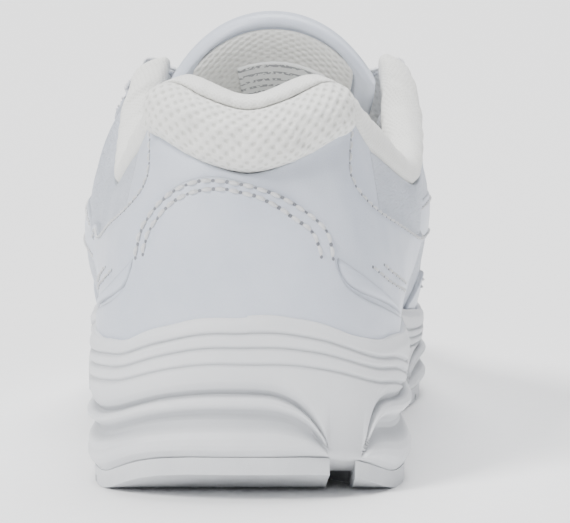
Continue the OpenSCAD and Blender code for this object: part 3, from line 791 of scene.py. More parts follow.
def lip_reach(u):
    """How far in from the outline the upper stands where the rim meets it."""
    v = np.linspace(0.02, 0.5, 60)
    U, V = np.meshgrid(u, v, indexing="ij")
    p = skin(U, V, 1.0)
    z = rim(u) - 0.4
    k = np.argmin(np.abs(p[..., 2] - z[:, None]), 1)
    q = p[np.arange(len(u)), k]
    o = outline(u)
    d = ((o[:, 0] - q[:, 0]) * plan_normal(u)[:, 0] + (o[:, 1] - BACK - q[:, 1]) * plan_normal(u)[:, 1])
    d = np.convolve(np.concatenate([d[-12:], d, d[:12]]), np.ones(25) / 25, "valid")
    return np.clip(d, 1.6, 9)


def build_midsole():
    """The midsole's wall with its grooves and arches, its lip, its inner floor and its underside."""
    n = 1240
    ring = np.linspace(0, 20, 8001)
    # samples stand closer together round the heel, where the arches curl
    weight = 1 + 2.2 * (1 - smooth(1.6, 2.6, np.minimum(ring, 20 - ring)))
    s = np.concatenate([[0], np.cumsum(np.linalg.norm(np.diff(outline(ring), axis=0), axis=1)
                                       * (weight[1:] + weight[:-1]) / 2)])
    half_way = s[len(ring) // 2]
    u = np.interp(np.linspace(0, half_way, n // 2 + 1), s, ring)
    u = np.concatenate([u, (20 - u[1:-1])[::-1]])
    f = np.linspace(0, 1, 170)
    U, F = np.meshgrid(u, f, indexing="ij")
    o, nn = outline(U), plan_normal(U)
    t = o[..., 1]
    low, high = rubber_top(t) + 0.02, rim(U)
    inset = wall_inset(U, F)
    # painted shade: the grooves and arch creases are darkened by how far the wall stands in
    groove_shade = np.clip(inset / 1.7, 0, 1) * smooth(0.0, 0.06, F) * (1 - smooth(0.91, 0.96, F))
    z = mix(low, high, F)
    # a slightly soft, uneven lip where the upper is cemented in
    z = z + F**8 * (0.25 * np.sin(4.0 * U + 1) + 0.16 * np.sin(11.0 * U))
    xy = o - nn * inset[..., None]
    wall = np.concatenate([xy, z[..., None]], -1)
    # over the lip, down inside to the bed, and across the bottom
    lip = []
    reach = lip_reach(u)
    for share, extra, drop in ((0.35, 0, -0.25), (0.6, 0, -0.12), (0.85, 0, 0.25), (1.0, 0.1, 0.8),
                               (1.0, 0.5, 2.4), (1.0, 1.6, 6.0)):
        top = wall[:, -1]
        q = outline(u) - plan_normal(u) * (0.9 + share * (reach - 0.9) + extra)[:, None]
        lip.append(np.concatenate([q, (top[:, 2] - drop)[:, None]], -1))
    floor_ring = outline(u) - plan_normal(u) * (reach + 2.2)[:, None]
    lip.append(np.concatenate([floor_ring, bed(floor_ring[:, 1])[:, None]], -1))
    rings = np.concatenate([wall, np.stack(lip, 1)], 1)
    m = rings.shape[1]
    points = rings.reshape(-1, 3).copy()
    faces = grid_faces(n, m, close_n=True).tolist()

    # caps: strips across the shoe between points with the same number from the heel
    half = n // 2

    def cap(column, flip, level):
        extra, start = [], len(points) + sum(len(e) for e in extra_points)
        strips = 13
        ids = []
        for i in range(half + 1):
            a, b = i % n, (n - i) % n
            if a == b:
                ids.append([a * m + column])
                continue
            row = [a * m + column]
            pa, pb = rings[a, column], rings[b, column]
            for k in range(1, strips):
                p = mix(pa, pb, k / strips)
                p = np.array([p[0], p[1], level(p[1])])
                row.append(start + len(extra))
                extra.append(p)
            row.append(b * m + column)
            ids.append(row)
        extra_points.append(np.array(extra))
        for r0, r1 in zip(ids[:-1], ids[1:]):
            if len(r0) == 1:
                quads = [(r0[0], r1[k], r1[k + 1]) for k in range(len(r1) - 1)]
            elif len(r1) == 1:
                quads = [(r0[k + 1], r0[k], r1[0]) for k in range(len(r0) - 1)]
            else:
                quads = [(r0[k + 1], r0[k], r1[k], r1[k + 1]) for k in range(len(r0) - 1)]
            faces.extend(q[::-1] if flip else q for q in quads)

    extra_points = []
    cap(0, True, lambda y: float(rubber_top(y)) + 0.02)
    cap(m - 1, False, lambda y: float(bed(y)))
    points = np.vstack([points] + extra_points)
    points[:, 1] -= BACK
    shade = np.zeros(len(points))
    shade[: n * m] = np.concatenate([groove_shade, np.zeros((n, m - groove_shade.shape[1]))], 1).ravel()
    obj = add_mesh("midsole_wall", points, faces, FOAM_WALL, edge=shade)
    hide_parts("midsole")


# ---------------------------------------------------------------- collar, heel pad

COLLAR_U = 4.9
COLLAR_PAD = 6.6


def fat(u):
    return COLLAR_PAD * mix(1, 0.62, smooth(3.9, 4.9, np.abs(u)))


PAD_END = 1.285
PAD_RISE = 7.6
CLOTH_SHARE = 0.38


def pad_round(u):
    """0 over the pad's length, rising to 1 at its rounded ends."""
    x = np.clip((np.abs(u) - 1.03) / (PAD_END - 1.03), 0, 1)
    return 1 - np.sqrt(1 - x**2)


def pad_top(u):
    return 0.970 + 0.024 * smooth(0.5, 1.03, np.abs(u)) - 0.052 * pad_round(u)


def pad_bottom(u):
    low = np.interp(np.abs(u), [0, 0.3, 0.5, 0.7, 0.85, 0.95, 1.03],
                    [0.752, 0.752, 0.754, 0.764, 0.780, 0.793, 0.808])
    return low + 0.128 * pad_round(u)


def collar_low(u):
    return np.where(np.abs(u) < 1.26, pad_top(u) - 0.003, leather_top(u) + 0.004)


def collar_profile(u):
    """The roll's section at u as (v, depth) pairs, from the leather's edge over the top and down inside."""
    f = float(fat(u))
    v0 = float(collar_low(u))
    r = abs(u)
    end = float(smooth(4.76, 4.9, r))
    swell = float(mix(mix(1.0, 1.7, smooth(3.2, 4.4, r)), 0.2, end))
    horn = 0.062 * float(smooth(3.3, 4.5, r)) * (1 - end)
    return np.array([
        [v0 - 0.02, -1.9], [v0 + 0.002, -0.9], [mix(v0, 1, 0.2), 0.75 * swell],
        [mix(v0, 1, 0.6), 1.5 * swell],
        [1.008 + horn * 0.6, 0.6 * swell], [1.03 + horn, -f * 0.28], [1.036 + horn, -f * 0.55],
        [1.024 + horn, -f * 0.9],
        [1.0 + horn * 0.5, -f - 1.0], [0.965, -f - 2.2], [0.91, -f - 2.8],
        [0.84, -f - 2.7], [0.74, -f * 0.8 - 2.9], [0.64, -f * 0.45 - 3.6], [0.54, -4.7], [0.4, -4.35],
        [0.22, -4.2], [0.07, -4.2],
    ])


def build_collar():
    us = np.linspace(-COLLAR_U, COLLAR_U, 420)
    rows = []
    for u in us:
        c = spline(collar_profile(u), 6)
        # finer over the visible roll, coarser down inside
        s = lengths(c * [60, 1])
        k = np.concatenate([np.linspace(0, 0.52, 46, endpoint=False), np.linspace(0.52, 1, 30)]) * s[-1]
        rows.append(at_lengths(c, s, k))
    rows = np.array(rows)
    U = np.broadcast_to(us[:, None], rows.shape[:2])
    V, D = rows[..., 0], rows[..., 1]
    taper = smooth(0, 0.1, COLLAR_U - np.abs(U))
    D = (D + 0.18 * np.sin(23 * U + 3 * V) * smooth(0.86, 0.95, V) * taper
         + 0.12 * np.sin(41 * U) * smooth(0.9, 1, V))
    outer = skin(U, V, D)
    # the inner side: the same surface moved in along its normals
    n = np.cross(np.gradient(outer, axis=0), np.gradient(outer, axis=1))
    inner = outer - 0.9 * unit(n)
    points, faces = solid_grid(outer, inner)
    along = lengths(skin(us, us * 0 + 0.97))
    down = run_across(outer)
    coords = np.stack([np.broadcast_to(along[:, None], down.shape), down], -1).reshape(-1, 2)
    obj = add_mesh("collar_roll", points, faces, ROLL_KNIT, coords=twice(coords))
    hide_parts("collar_lining", "collar_foam")


def resample(table, i, j):
    """Values of a table at fractional rows i and columns j, smoothly."""
    def along(t, x):
        k = np.clip(np.floor(x).astype(int), 0, len(t) - 2)
        f = (x - k)[:, None]
        a, b, c, d = t[np.maximum(k - 1, 0)], t[k], t[k + 1], t[np.minimum(k + 2, len(t) - 1)]
        return through(a, b, c, d, f)

    return along(along(table, i).T, j).T


def blown_pad():
    """Rise of the pad's cover, as a cloth sewn down along its edge and blown up: about 1 at the highest."""
    n, m = 84, 26
    at_u, at_k = np.linspace(-PAD_END, PAD_END, n), np.linspace(0, 1, m)
    U, K = np.meshgrid(at_u, at_k, indexing="ij")
    V = mix(pad_bottom(U), pad_top(U), K)
    normal = normals(U, V)
    top, base = skin(U, V, 1.5), skin(U, V, -2.5)
    points, faces = solid_grid(top, base)
    mesh = bpy.data.meshes.new("pad_cloth")
    mesh.from_pydata((points * 0.01).tolist(), [], [tuple(int(k) for k in f) for f in faces])
    obj = bpy.data.objects.new("pad_cloth", mesh)
    link(obj)
    border = [i * m + j for i in range(n) for j in range(m) if i in (0, n - 1) or j in (0, m - 1)]
    pinned = border + list(range(n * m, 2 * n * m))
    obj.vertex_groups.new(name="sewn").add(pinned, 1.0, "REPLACE")
    cloth = obj.modifiers.new("cloth", "CLOTH")
    c = cloth.settings
    c.quality = 6
    c.mass = 0.3
    c.tension_stiffness = c.compression_stiffness = 12
    c.shear_stiffness = 6
    c.bending_stiffness = 1.5
    c.vertex_group_mass = "sewn"
    c.shrink_min = -0.22
    c.use_pressure = True
    c.uniform_pressure_force = 14
    c.effector_weights.gravity = 0
    scene = bpy.context.scene
    cloth.point_cache.frame_start, cloth.point_cache.frame_end = 1, 24
    for frame_number in range(1, 25):
        scene.frame_set(frame_number)
        shape = obj.evaluated_get(bpy.context.evaluated_depsgraph_get()).data
    moved = np.zeros(len(shape.vertices) * 3, np.float32)
    shape.vertices.foreach_get("co", moved)
    moved = moved.reshape(-1, 3)[: n * m].reshape(n, m, 3) * 100
    scene.frame_set(1)
    bpy.data.objects.remove(obj)
    rise = ((moved - top) * normal).sum(-1)
    peak = np.percentile(rise, 98)
    if not np.isfinite(rise).all() or peak < 0.3:
        return None
    rise = np.clip(rise / peak, 0, 1.1)
    for _ in range(3):
        beside = rise[:-2, 1:-1], rise[2:, 1:-1], rise[1:-1, :-2], rise[1:-1, 2:]
        rise[1:-1, 1:-1] = (2 * rise[1:-1, 1:-1] + beside[0] + beside[1] + beside[2] + beside[3]) / 6
    return at_u, at_k, rise


def build_heel_pad():
    """The mesh pad at the back of the heel: a puffed crescent, sewn in along its edge and below the roll."""
    us = np.linspace(-PAD_END, PAD_END, 190)
    ks = np.concatenate([np.linspace(0, 0.1, 10, endpoint=False), np.linspace(0.1, 0.9, 56, endpoint=False),
                         np.linspace(0.9, 1, 10)])
    U, K = np.meshgrid(us, ks, indexing="ij")
    a = pad_bottom(U)
    b = pad_top(U) + 0.001
    V = mix(a, b, K)
    w = np.clip((b - a) / 0.23, 0, 1)
    round_low = crown(K, 0.26)
    round_high = crown(1 - K, 0.45)
    ends = crown(PAD_END - np.abs(U), 0.22)
    rise = PAD_RISE * w**0.35 * round_low**0.9 * round_high**0.8 * ends
    blown = blown_pad()
    if blown is not None:
        at_u, at_k, shape = blown
        i = np.interp(us, at_u, np.arange(len(at_u)))
        j = np.interp(ks, at_k, np.arange(len(at_k)))
        rise = (1 - CLOTH_SHARE) * rise + CLOTH_SHARE * PAD_RISE * resample(shape, i, j) * w**0.2
    D = -0.6 + rise + 0.9 * np.minimum(1, K / 0.05)
    p = skin(U, V, D)
    along = lengths(skin(us, us * 0 + 0.86, 4))
    down = run_across(p)
    down = down - down[:, -1:]
    X = np.broadcast_to(along[:, None], down.shape)
    knots = np.cos(2 * math.pi * (X / 3.0 + down / 3.2)) + np.cos(2 * math.pi * (X / 3.0 - down / 3.2))
    fade = smooth(0, 1.2, K * 20) * smooth(0, 2.5, -down)
    D = D - 0.17 * np.clip(-knots - 0.2, 0, 2) * fade
    outer = skin(U, V, D)
    inner = skin(U, V, np.minimum(D - 0.6, -0.9))
    points, faces = solid_grid(outer, inner)
    coords = np.stack([X, down], -1).reshape(-1, 2)
    obj = add_mesh("heel_pad", points, faces, PAD_MESH, coords=twice(coords))
    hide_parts("heel_pad_mesh", "heel_pad_foam")


# ---------------------------------------------------------------- tongue

TONGUE_ROWS = [
    [197, 54.5, 14, 3], [172, 68.5, 16, 5], [146, 81, 19, 7], [122, 91.5, 24, 10.5], [104, 103.5, 27.5, 13],
    [95, 117, 28.5, 14.5],
]


TIP_ROUND = 0.08
TONGUE_LONG = 130
TONGUE_HALF = 24


def tongue_point(a, w):
    """A point of the tongue: a runs from root to tip, w across from -1 to 1."""
    a, w = np.broadcast_arrays(np.asarray(a, float), np.asarray(w, float))
    rows = np.array(TONGUE_ROWS, float)
    last = len(rows) - 1
    x = np.clip(a, 0, 1) * last
    i = np.minimum(np.floor(x), last - 1).astype(int)
    f = (x - i)[..., None]
    p, q = rows[i], rows[i + 1]
    o = np.where((i > 0)[..., None], rows[np.maximum(i - 1, 0)], 2 * p - q)
    r = np.where((i < last - 1)[..., None], rows[np.minimum(i + 2, last)], 2 * q - p)
    t = through(o, p, q, r, f)
    return np.stack([centre_x(t[..., 0]) + t[..., 2] * w, t[..., 0] + 0.25 * t[..., 3] * w**2,
                     t[..., 1] - t[..., 3] * w**2], -1)


def tongue_normal(a, w):
    e = 0.01
    da = tongue_point(np.minimum(a + e, 1), w) - tongue_point(np.maximum(a - e, 0), w)
    dw = tongue_point(a, w + e) - tongue_point(a, w - e)
    return unit(np.cross(da, dw))


def tongue_skin(a, w, depth):
    p = tongue_point(a, w) + np.asarray(depth)[..., None] * tongue_normal(a, w)
    p = p.copy()
    p[..., 1] -= BACK
    return p


def tongue_grid(first, last, width, na, nw, edge=True):
    """(a, w) grid whose far end is rounded like the tongue's tip."""
    ease = (1 - np.cos(np.linspace(0, math.pi, nw))) / 2
    w = mix(-width, width, mix(np.linspace(0, 1, nw), ease, 0.75 if edge else 0.2))
    k = np.linspace(0, 1, na)
    k = mix(k, 1 - (1 - k) ** 2, 0.5)
    W = np.broadcast_to(w[None], (na, nw))
    A = mix(first, last - TIP_ROUND * np.abs(W) ** 4, k[:, None])
    return A, W


def tongue_rim_distance(a, w):
    """Roughly how far a place is from the tongue's free edge, in millimetres."""
    rows = np.array(TONGUE_ROWS, float)
    half = np.interp(a * 5, range(6), rows[:, 2])
    side = (1 - np.abs(w)) * half
    tip = (1 - TIP_ROUND * np.abs(w) ** 4 - a) * 130
    k = 6.0
    return -np.log(np.exp(-np.clip(side, 0, 60) / k * 2) + np.exp(-np.clip(tip, 0, 60) / k * 2)) * k / 2


def build_tongue():
    A, W = tongue_grid(0.0, 1.0, 1.0, 150, 90)
    s = np.clip(np.minimum((1 - np.abs(W)) * np.interp(A * 5, range(6), [r[2] for r in TONGUE_ROWS]),
                           (1 - TIP_ROUND * np.abs(W) ** 4 - A) * 125), 0, None)
    soft = np.clip(tongue_rim_distance(A, W), 0, None)
    half = 2.9 * crown(s, 3.0)
    mid = -2.9
    top = mid + half + 0.5 * smooth(2, 12, soft) * np.sin(np.pi * np.clip(A, 0, 1)) ** 0.5
    groove = np.exp(-(((soft - 5.2) / 0.8) ** 2))
    bottom = mid - half + 0.9 * groove
    fill = smooth(5.2, 11, soft)
    bottom = bottom - 0.2 * fill
    outer, inner = tongue_skin(A, W, top), tongue_skin(A, W, bottom)
    points, faces = solid_grid(outer, inner)
    # the groove on the shell's underside is darkened with painted shade
    edge = np.concatenate([np.zeros(A.size), (0.5 * groove).ravel()])
    coords = np.stack([W * TONGUE_HALF, A * TONGUE_LONG], -1).reshape(-1, 2)
    obj = add_mesh("tongue_shell", points, faces, LEATHER, body="tongue", coords=twice(coords), edge=edge)
    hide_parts("tongue_cover", "tongue_foam")
    # mesh lining inside the leather rim, puffed between the seam lines
    A, W = tongue_grid(0.03, 0.955, 0.80, 190, 120, edge=False)
    soft = np.clip(tongue_rim_distance(A, W), 0, None)
    X, Y = W * TONGUE_HALF, A * TONGUE_LONG
    knots = np.cos(2 * math.pi * (X / 3.0 + Y / 2.6)) + np.cos(2 * math.pi * (X / 3.0 - Y / 2.6))
    border = np.minimum(1 - np.abs(W / 0.80), (0.955 - TIP_ROUND * np.abs(W) ** 4 - A) * 5)
    rise = crown(np.clip(border, 0, 1) * 8, 2.4)
    D = -5.5 - 1.0 * rise + 0.16 * np.clip(-knots, 0, 2) * smooth(0.1, 0.3, border)
    outer = tongue_skin(A, W, D)
    inner = tongue_skin(A, W, np.full_like(D, -4.9))
    points, faces = solid_grid(inner, outer)
    coords = np.stack([X, Y], -1).reshape(-1, 2)
    obj = add_mesh("tongue_mesh_lining", points, faces, LINING, body="tongue",
                   coords=twice(coords))
    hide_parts("tongue_lining")


def build_label():
    """Printed care label: rows of plain bars, no lettering."""
    m, tree, shader = new_material("label_print")
    split = tree.nodes.new("ShaderNodeSeparateXYZ")
    tree.links.new(weave_mm(tree), split.inputs[0])
    rows = math_node(tree, "FRACT", times(tree, split.outputs[1], 0.33))
    bars = math_node(tree, "GREATER_THAN", rows, 0.62)
    words = noise(tree, weave_mm(tree), 0.9, 1.0)
    cut = math_node(tree, "GREATER_THAN", words, 0.47)
    ink = times(tree, times(tree, bars, cut), 0.75)
    tree.links.new(mix_colour(tree, ink, (0.82, 0.83, 0.83), (0.16, 0.17, 0.19)), shader.inputs["Base Color"])
    threads = noise(tree, in_mm(tree), 4.0, 3.0)
    bump(tree, shader, threads, 0.3, 0.0002)
    shader.inputs["Roughness"].default_value = 0.6
    shader.inputs["Sheen Weight"].default_value = 0.1
    A, W = np.meshgrid(np.linspace(0.68, 0.845, 40), np.linspace(-0.38, 0.55, 50), indexing="ij")
    edge = np.minimum(np.minimum(A - 0.68, 0.845 - A) * 130, np.minimum(W + 0.38, 0.55 - W) * 24)
    D = -6.75 - 0.25 * crown(edge, 0.6)
    outer = tongue_skin(A, W, D)
    inner = tongue_skin(A, W, np.full_like(D, -6.3))
    points, faces = solid_grid(inner, outer)
    coords = np.stack([W * TONGUE_HALF, A * TONGUE_LONG], -1).reshape(-1, 2)
    obj = add_mesh("tongue_size_label", points, faces, m, body="tongue", coords=twice(coords))
    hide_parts("tongue_label")


# ---------------------------------------------------------------- lace

EYELET_V = 0.875
OVERLAY = 1.4
SEAM_GAP = 0.3
LACE_FLAT = (6.5, 1.1)  # width and thickness
# share of the way from one side to the other, and the hang there as a multiple of LACE_HANG
LACE_HANG = np.array([0, 0, -2.1])
LACE_SAG = ((0.12, 1.5), (0.3, 1.1), (0.5, 0.85), (0.7, 1.1), (0.88, 1.5))


def eyelet_u(i):
    return mix(6.74, 5.1, i / 5)


def side_u(side, u):
    return u if side > 0 else 20 - u


def lace_path():
    """Places, width directions, widths and thicknesses along the lace: one bar for each pair of eyelets."""
    out = []
    high = OVERLAY + SEAM_GAP + 0.55
    for i in range(6):
        side = 1 if i % 2 == 0 else -1
        ua, ub = side_u(side, eyelet_u(i)), side_u(-side, eyelet_u(i))
        wa = side * unit(skin(ua + 0.1, 0.95) - skin(ua - 0.1, 0.95))
        wb = -side * unit(skin(ub + 0.1, 0.95) - skin(ub - 0.1, 0.95))
        ea, eb = skin(ua, 1, high), skin(ub, 1, high)
        row = [(skin(ua, EYELET_V, d), wa, 2.2, 2.2) for d in (-6, -2, 1)]
        row += [(skin(ua, EYELET_V + 0.008, high + 0.3), wa, 4, 1.4)]
        row += [(skin(ua, v, high), wa, *LACE_FLAT) for v in (0.915, 0.96)] + [(ea, wa, *LACE_FLAT)]
        row += [(mix(ea, eb, k) + LACE_HANG * sag, mix(wa, wb, k), *LACE_FLAT) for k, sag in LACE_SAG]
        row += [(eb, wb, *LACE_FLAT)] + [(skin(ub, v, high), wb, *LACE_FLAT) for v in (0.96, 0.915)]
        row += [(skin(ub, EYELET_V + 0.008, high + 0.3), wb, 4, 1.4)]
        row += [(skin(ub, EYELET_V, d), wb, 2.2, 2.2) for d in (1, -2, -6)]
        out += row
    return out


def build_lace():
    """The flat lace, with a finely scalloped edge."""
    path = lace_path()
    table = np.array([np.concatenate([p, s, [w, h]]) for p, s, w, h in path])
    fine = spline(table, 7)
    p, s = fine[:, :3], fine[:, 3:6]
    width, tall = fine[:, 6], fine[:, 7]
    t = unit(np.gradient(p, axis=0))
    s = unit(s - (s * t).sum(1, keepdims=True) * t)
    d = np.cross(t, s)
    sides = 16
    a = np.arange(sides) * 2 * math.pi / sides
    cx, sy = np.cos(a), np.sin(a)
    cx = np.sign(cx) * np.abs(cx) ** 0.55
    sy = np.sign(sy) * np.abs(sy) ** 0.8
    along = lengths(p)
    scallop = 1 + 0.012 * np.sin(along * 2 * math.pi / 1.5)
    rings = (p[:, None] + s[:, None] * (width * scallop)[:, None, None] / 2 * cx[None, :, None]
             + d[:, None] * tall[:, None, None] / 2 * sy[None, :, None])
    faces = grid_faces(len(p), sides, close_m=True).tolist()
    faces += [tuple(range(sides)), tuple((len(p) - 1) * sides + k for k in reversed(range(sides)))]
    coords = np.stack([np.broadcast_to(along[:, None], (len(p), sides)), width[:, None] / 2 * cx[None]],
                      -1).reshape(-1, 2)
    obj = add_mesh("flat_lace", rings.reshape(-1, 3), faces, LACE, coords=coords)
    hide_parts("lace")


# ---------------------------------------------------------------- insole


INSOLE_INSET = 13.4  # from the outline of the sole


def build_insole():
    """Cover of the removable insole: pressed a little hollow under the heel, rising at its edge."""
    us = np.linspace(0, 10, 200)
    ts = np.linspace(13.7, 264.1, 230)

    def side_x(u):
        curve = outline(u) - INSOLE_INSET * plan_normal(u)
        order = np.argsort(curve[:, 1])
        return np.interp(ts, curve[order, 1], curve[order, 0])

    k = np.linspace(-1, 1, 60)
    k = np.sign(k) * np.abs(k) ** 0.8
    xm, xl = side_x(us), side_x(-us)
    end = np.minimum((ts - ts[0]) / 9, (ts[-1] - ts) / 9)
    round_end = np.sqrt(np.clip(1 - (1 - np.clip(end, 0, 1)) ** 2, 0.0004, 1))
    mid, half = (xm + xl) / 2, np.abs(xm - xl) / 2 * round_end
    X = mid[:, None] + half[:, None] * k[None]
    T = np.broadcast_to(ts[:, None], X.shape)
    top = bed(T) + 1.45 + 4.38
    top = top - 0.55 * (1 - np.abs(k[None]) ** 2) * (1 - smooth(120, 160, T)) * smooth(10, 40, T)
    drop = 0.5 * (1 - crown((1 - np.abs(k[None])) * half[:, None], 1.0))
    outer = np.stack([X, T - BACK, top - drop], -1)
    inner = np.stack([X, T - BACK, bed(T) + 1.5 + 0 * X], -1)
    points, faces = solid_grid(outer[::-1], inner[::-1])
    coords = np.stack([X, T], -1)[::-1].reshape(-1, 2)
    obj = add_mesh("insole_sock", points, faces, SOCK, body="insole",
                   coords=twice(coords))
    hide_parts("insole_cover", "insole_foam")


# ---------------------------------------------------------------- the upper's panels


def mirror(pairs):
    """(u, v) points given for one side, from the edge to the middle, made whole."""
    left = [(-u, v) for u, v in pairs]
    return left + [(u, v) for u, v in reversed(pairs[:-1])]


def both(points, side):
    """A medial outline for the side that is asked for, 1 medial or -1 lateral."""
    return [(u, v) for u, v in points] if side > 0 else [(20 - u, v) for u, v in reversed(points)]


FOXING_HIGH = [(4.6, 0.36), (4.3, 0.47), (3.6, 0.55), (2.6, 0.595), (2.0, 0.618), (1.6, 0.632),
               (1.36, 0.652), (1.25, 0.69), (1.25, 0.735),
               (1.30, 0.80), (1.38, 0.885), (1.2, 0.872), (1.0, 0.826), (0.7, 0.779), (0.35, 0.757),
               (0, 0.75)]
FOXING_LOW = [(u, 0.03) for u in (4.6, 4.2, 3.4, 2.4, 1.8, 1.45, 1.2, 1.05, 0.92, 0.76, 0.62, 0.52, 0.42,
                                  0.3, 0.15, 0)]
FOXING_SEAM_LEFT = [(-4.3, 0.40), (-4.05, 0.475), (-3.55, 0.53), (-2.6, 0.578), (-2.0, 0.600),
                    (-1.56, 0.613), (-1.3, 0.64), (-1.19, 0.69),
                    (-1.2, 0.745), (-1.25, 0.805), (-1.31, 0.862)]
FOXING_SEAM_RIGHT = [(-u, v) for u, v in FOXING_SEAM_LEFT]
PATCH_U = -0.2
PATCH_HIGH = [(2.35, 0.19), (1.8, 0.235), (1.45, 0.262), (1.2, 0.305), (1.07, 0.37), (1.04, 0.43),
              (1.0, 0.485), (0.9, 0.535), (0.6, 0.638),
              (0.3, 0.702), (0, 0.724)]
PATCH_LOW = [(u, 0.04) for u in (2.35, 1.8, 1.45, 1.15, 0.95, 0.8, 0.7, 0.6, 0.4, 0.2, 0)]


def shift(points, du):
    return [(u + du, v) for u, v in points]


PATCH_OUTER = shift([(-1.0, 0.40), (-0.97, 0.46), (-0.91, 0.508), (-0.73, 0.578), (-0.5, 0.645),
                     (-0.25, 0.692), (0, 0.708), (0.25, 0.697), (0.5, 0.652),
                     (0.75, 0.578), (0.94, 0.508), (1.0, 0.46), (1.02, 0.40)], PATCH_U)
PATCH_INNER = shift([(-0.88, 0.41), (-0.85, 0.455), (-0.79, 0.5), (-0.6, 0.578), (-0.38, 0.637),
                     (-0.15, 0.672), (0.05, 0.68), (0.3, 0.66), (0.5, 0.612),
                     (0.68, 0.55), (0.81, 0.505), (0.87, 0.455), (0.9, 0.41)], PATCH_U)


def build_upper():
    """The leather panels with their seams: quarters, vamp, heel, toe guard, eyestays and side bands."""
    first, second = 0.0, 1.15
    fox_left, fox_right = seam_line(FOXING_SEAM_LEFT, 1.3), seam_line(FOXING_SEAM_RIGHT, 1.3)
    outer, inner = seam_line(PATCH_OUTER, 2.3), seam_line(PATCH_INNER, 2.3)

    # base panels
    us = np.linspace(-1.87, 1.87, 25)
    panel("back_quarter_leather", [(u, 0.0) for u in us], [(u, float(leather_top(u)) + 0.012) for u in us],
          -1.5, 1.5, LEATHER,
          curved=False, replaces="back_quarter", radius=0.6)
    quarter_low = steps_u(1.85, 6.92, 30)
    for side, name in ((1, "medial"), (-1, "lateral")):
        low = both([(u, 0.0) for u in quarter_low], side)
        high = both([(u, min(1.0, float(leather_top(u)) + 0.004)) for u in quarter_low], side)
        panel("quarter_leather_" + name, low, high, -1.5, 1.5, TUMBLED, "quarter_" + name, curved=False,
              step=1.3, radius=0.6, pits=[skin(side_u(side, eyelet_u(i)), EYELET_V, 0) for i in range(6)],
              wave=1.4)
    build_vamp()

    # heel: wide smooth panel, then the bell patch with its ribs
    panel("heel_foxing_leather", mirror(FOXING_LOW), mirror(FOXING_HIGH), first, 1.25, LEATHER,
          seams=(fox_left, fox_right),
          replaces="heel_foxing", step=1.1)
    stitch_seam(FOXING_SEAM_LEFT, ["heel_foxing_leather"])
    stitch_seam(FOXING_SEAM_RIGHT, ["heel_foxing_leather"])
    panel("heel_patch_leather", shift(mirror(PATCH_LOW), PATCH_U), shift(mirror(PATCH_HIGH), PATCH_U),
          second, 1.15, LEATHER,
          seams=(outer, inner), replaces="heel_patch", step=0.95, puff=0.35, wave=0.8)
    stitch_seam(PATCH_OUTER, ["heel_patch_leather"], pitch=3.4, thread=0.56, holes=0.52)
    stitch_seam(PATCH_INNER, ["heel_patch_leather"], pitch=3.4, thread=0.56, holes=0.52)
    rib_low = [(1.085, 0.385), (1.13, 0.338), (1.25, 0.300), (1.5, 0.272), (1.8, 0.252), (2.1, 0.228),
               (2.42, 0.19)]
    rib_high = [(1.095, 0.405), (1.2, 0.386), (1.34, 0.362), (1.6, 0.325), (1.88, 0.290), (2.15, 0.252),
                (2.44, 0.197)]
    for side, name in ((1, "medial"), (-1, "lateral")):
        low = [(PATCH_U + side * u, v) for u, v in rib_low]
        high = [(PATCH_U + side * u, v) for u, v in rib_high]
        if side < 0:
            low, high = low[::-1], high[::-1]
        panel("heel_rib_leather_" + name, low, high, second - 0.25, 1.25, LEATHER, step=0.7, radius=1.6,
              wave=0.3,
              replaces="heel_rib_" + name)
    for row in ([(1.46, 0.378), (1.66, 0.352), (1.84, 0.333), (2.1, 0.312), (2.4, 0.295)],
                [(1.7, 0.396), (1.9, 0.374), (2.14, 0.350), (2.4, 0.330)]):
        stitch_seam(row, ["heel_foxing_leather"], pitch=3.0)
        stitch_seam([(-u - 0.35, v) for u, v in row][::-1], ["heel_foxing_leather"], pitch=3.0)

    # toe guard
    cap = [(3.75, 0.15), (3.4, 0.29), (2.8, 0.30), (2.2, 0.31), (1.6, 0.345), (1.0, 0.43), (0.5, 0.53),
           (0.0, 0.62)]
    low = [(10 - u, 0.09) for u, v in cap] + [(10 + u, 0.09) for u, v in cap[-2::-1]]
    high = [(10 - u, v) for u, v in cap] + [(10 + u, v) for u, v in cap[-2::-1]]
    seams = []
    for drop in (0.03, 0.062):
        line = [(10 - u, v - drop) for u, v in cap[1:]] + [(10 + u, v - drop) for u, v in cap[-2:0:-1]]
        seams.append(line)
    panel("toe_guard_leather", low, high, first, 1.25, LEATHER, seams=[seam_line(s, 1.2) for s in seams],
          replaces="toe_cap", step=1.2)
    for s in seams:
        stitch_seam(s, ["toe_guard_leather"], pitch=2.8, thread=0.32)

    # eyestays
    stay = [(4.95, 0.80), (5.2, 0.765), (6.0, 0.755), (6.8, 0.765), (7.2, 0.80), (7.6, 0.87), (7.85, 0.94)]
    stay_u = [4.95, 5.2, 6.0, 6.8, 7.2, 7.6, 7.85]
    for side, name in ((1, "medial"), (-1, "lateral")):
        top = [0.955, 0.985, 0.997, 0.997, 0.997, 0.997, 0.997]
        low, high = both(stay, side), both([(u, v) for u, v in zip(stay_u, top)], side)
        rows = [both([(u, v + 0.03) for u, v in stay], side),
                both([(u, v + 0.06) for u, v in stay[:-1]], side),
                both([(u, v - 0.03) for u, v in zip(stay_u[:-2], top)], side)]
        pits = [skin(side_u(side, eyelet_u(i)), EYELET_V, 1.2) for i in range(6)]
        panel("eyestay_leather_" + name, low, high, first, 1.25, LEATHER,
              seams=[seam_line(r, 1.2) for r in rows], step=0.62, pits=pits,
              replaces="eyestay_" + name, wave=0.5)
        for r in rows:
            stitch_seam(r, ["eyestay_leather_" + name], pitch=2.8, thread=0.32)

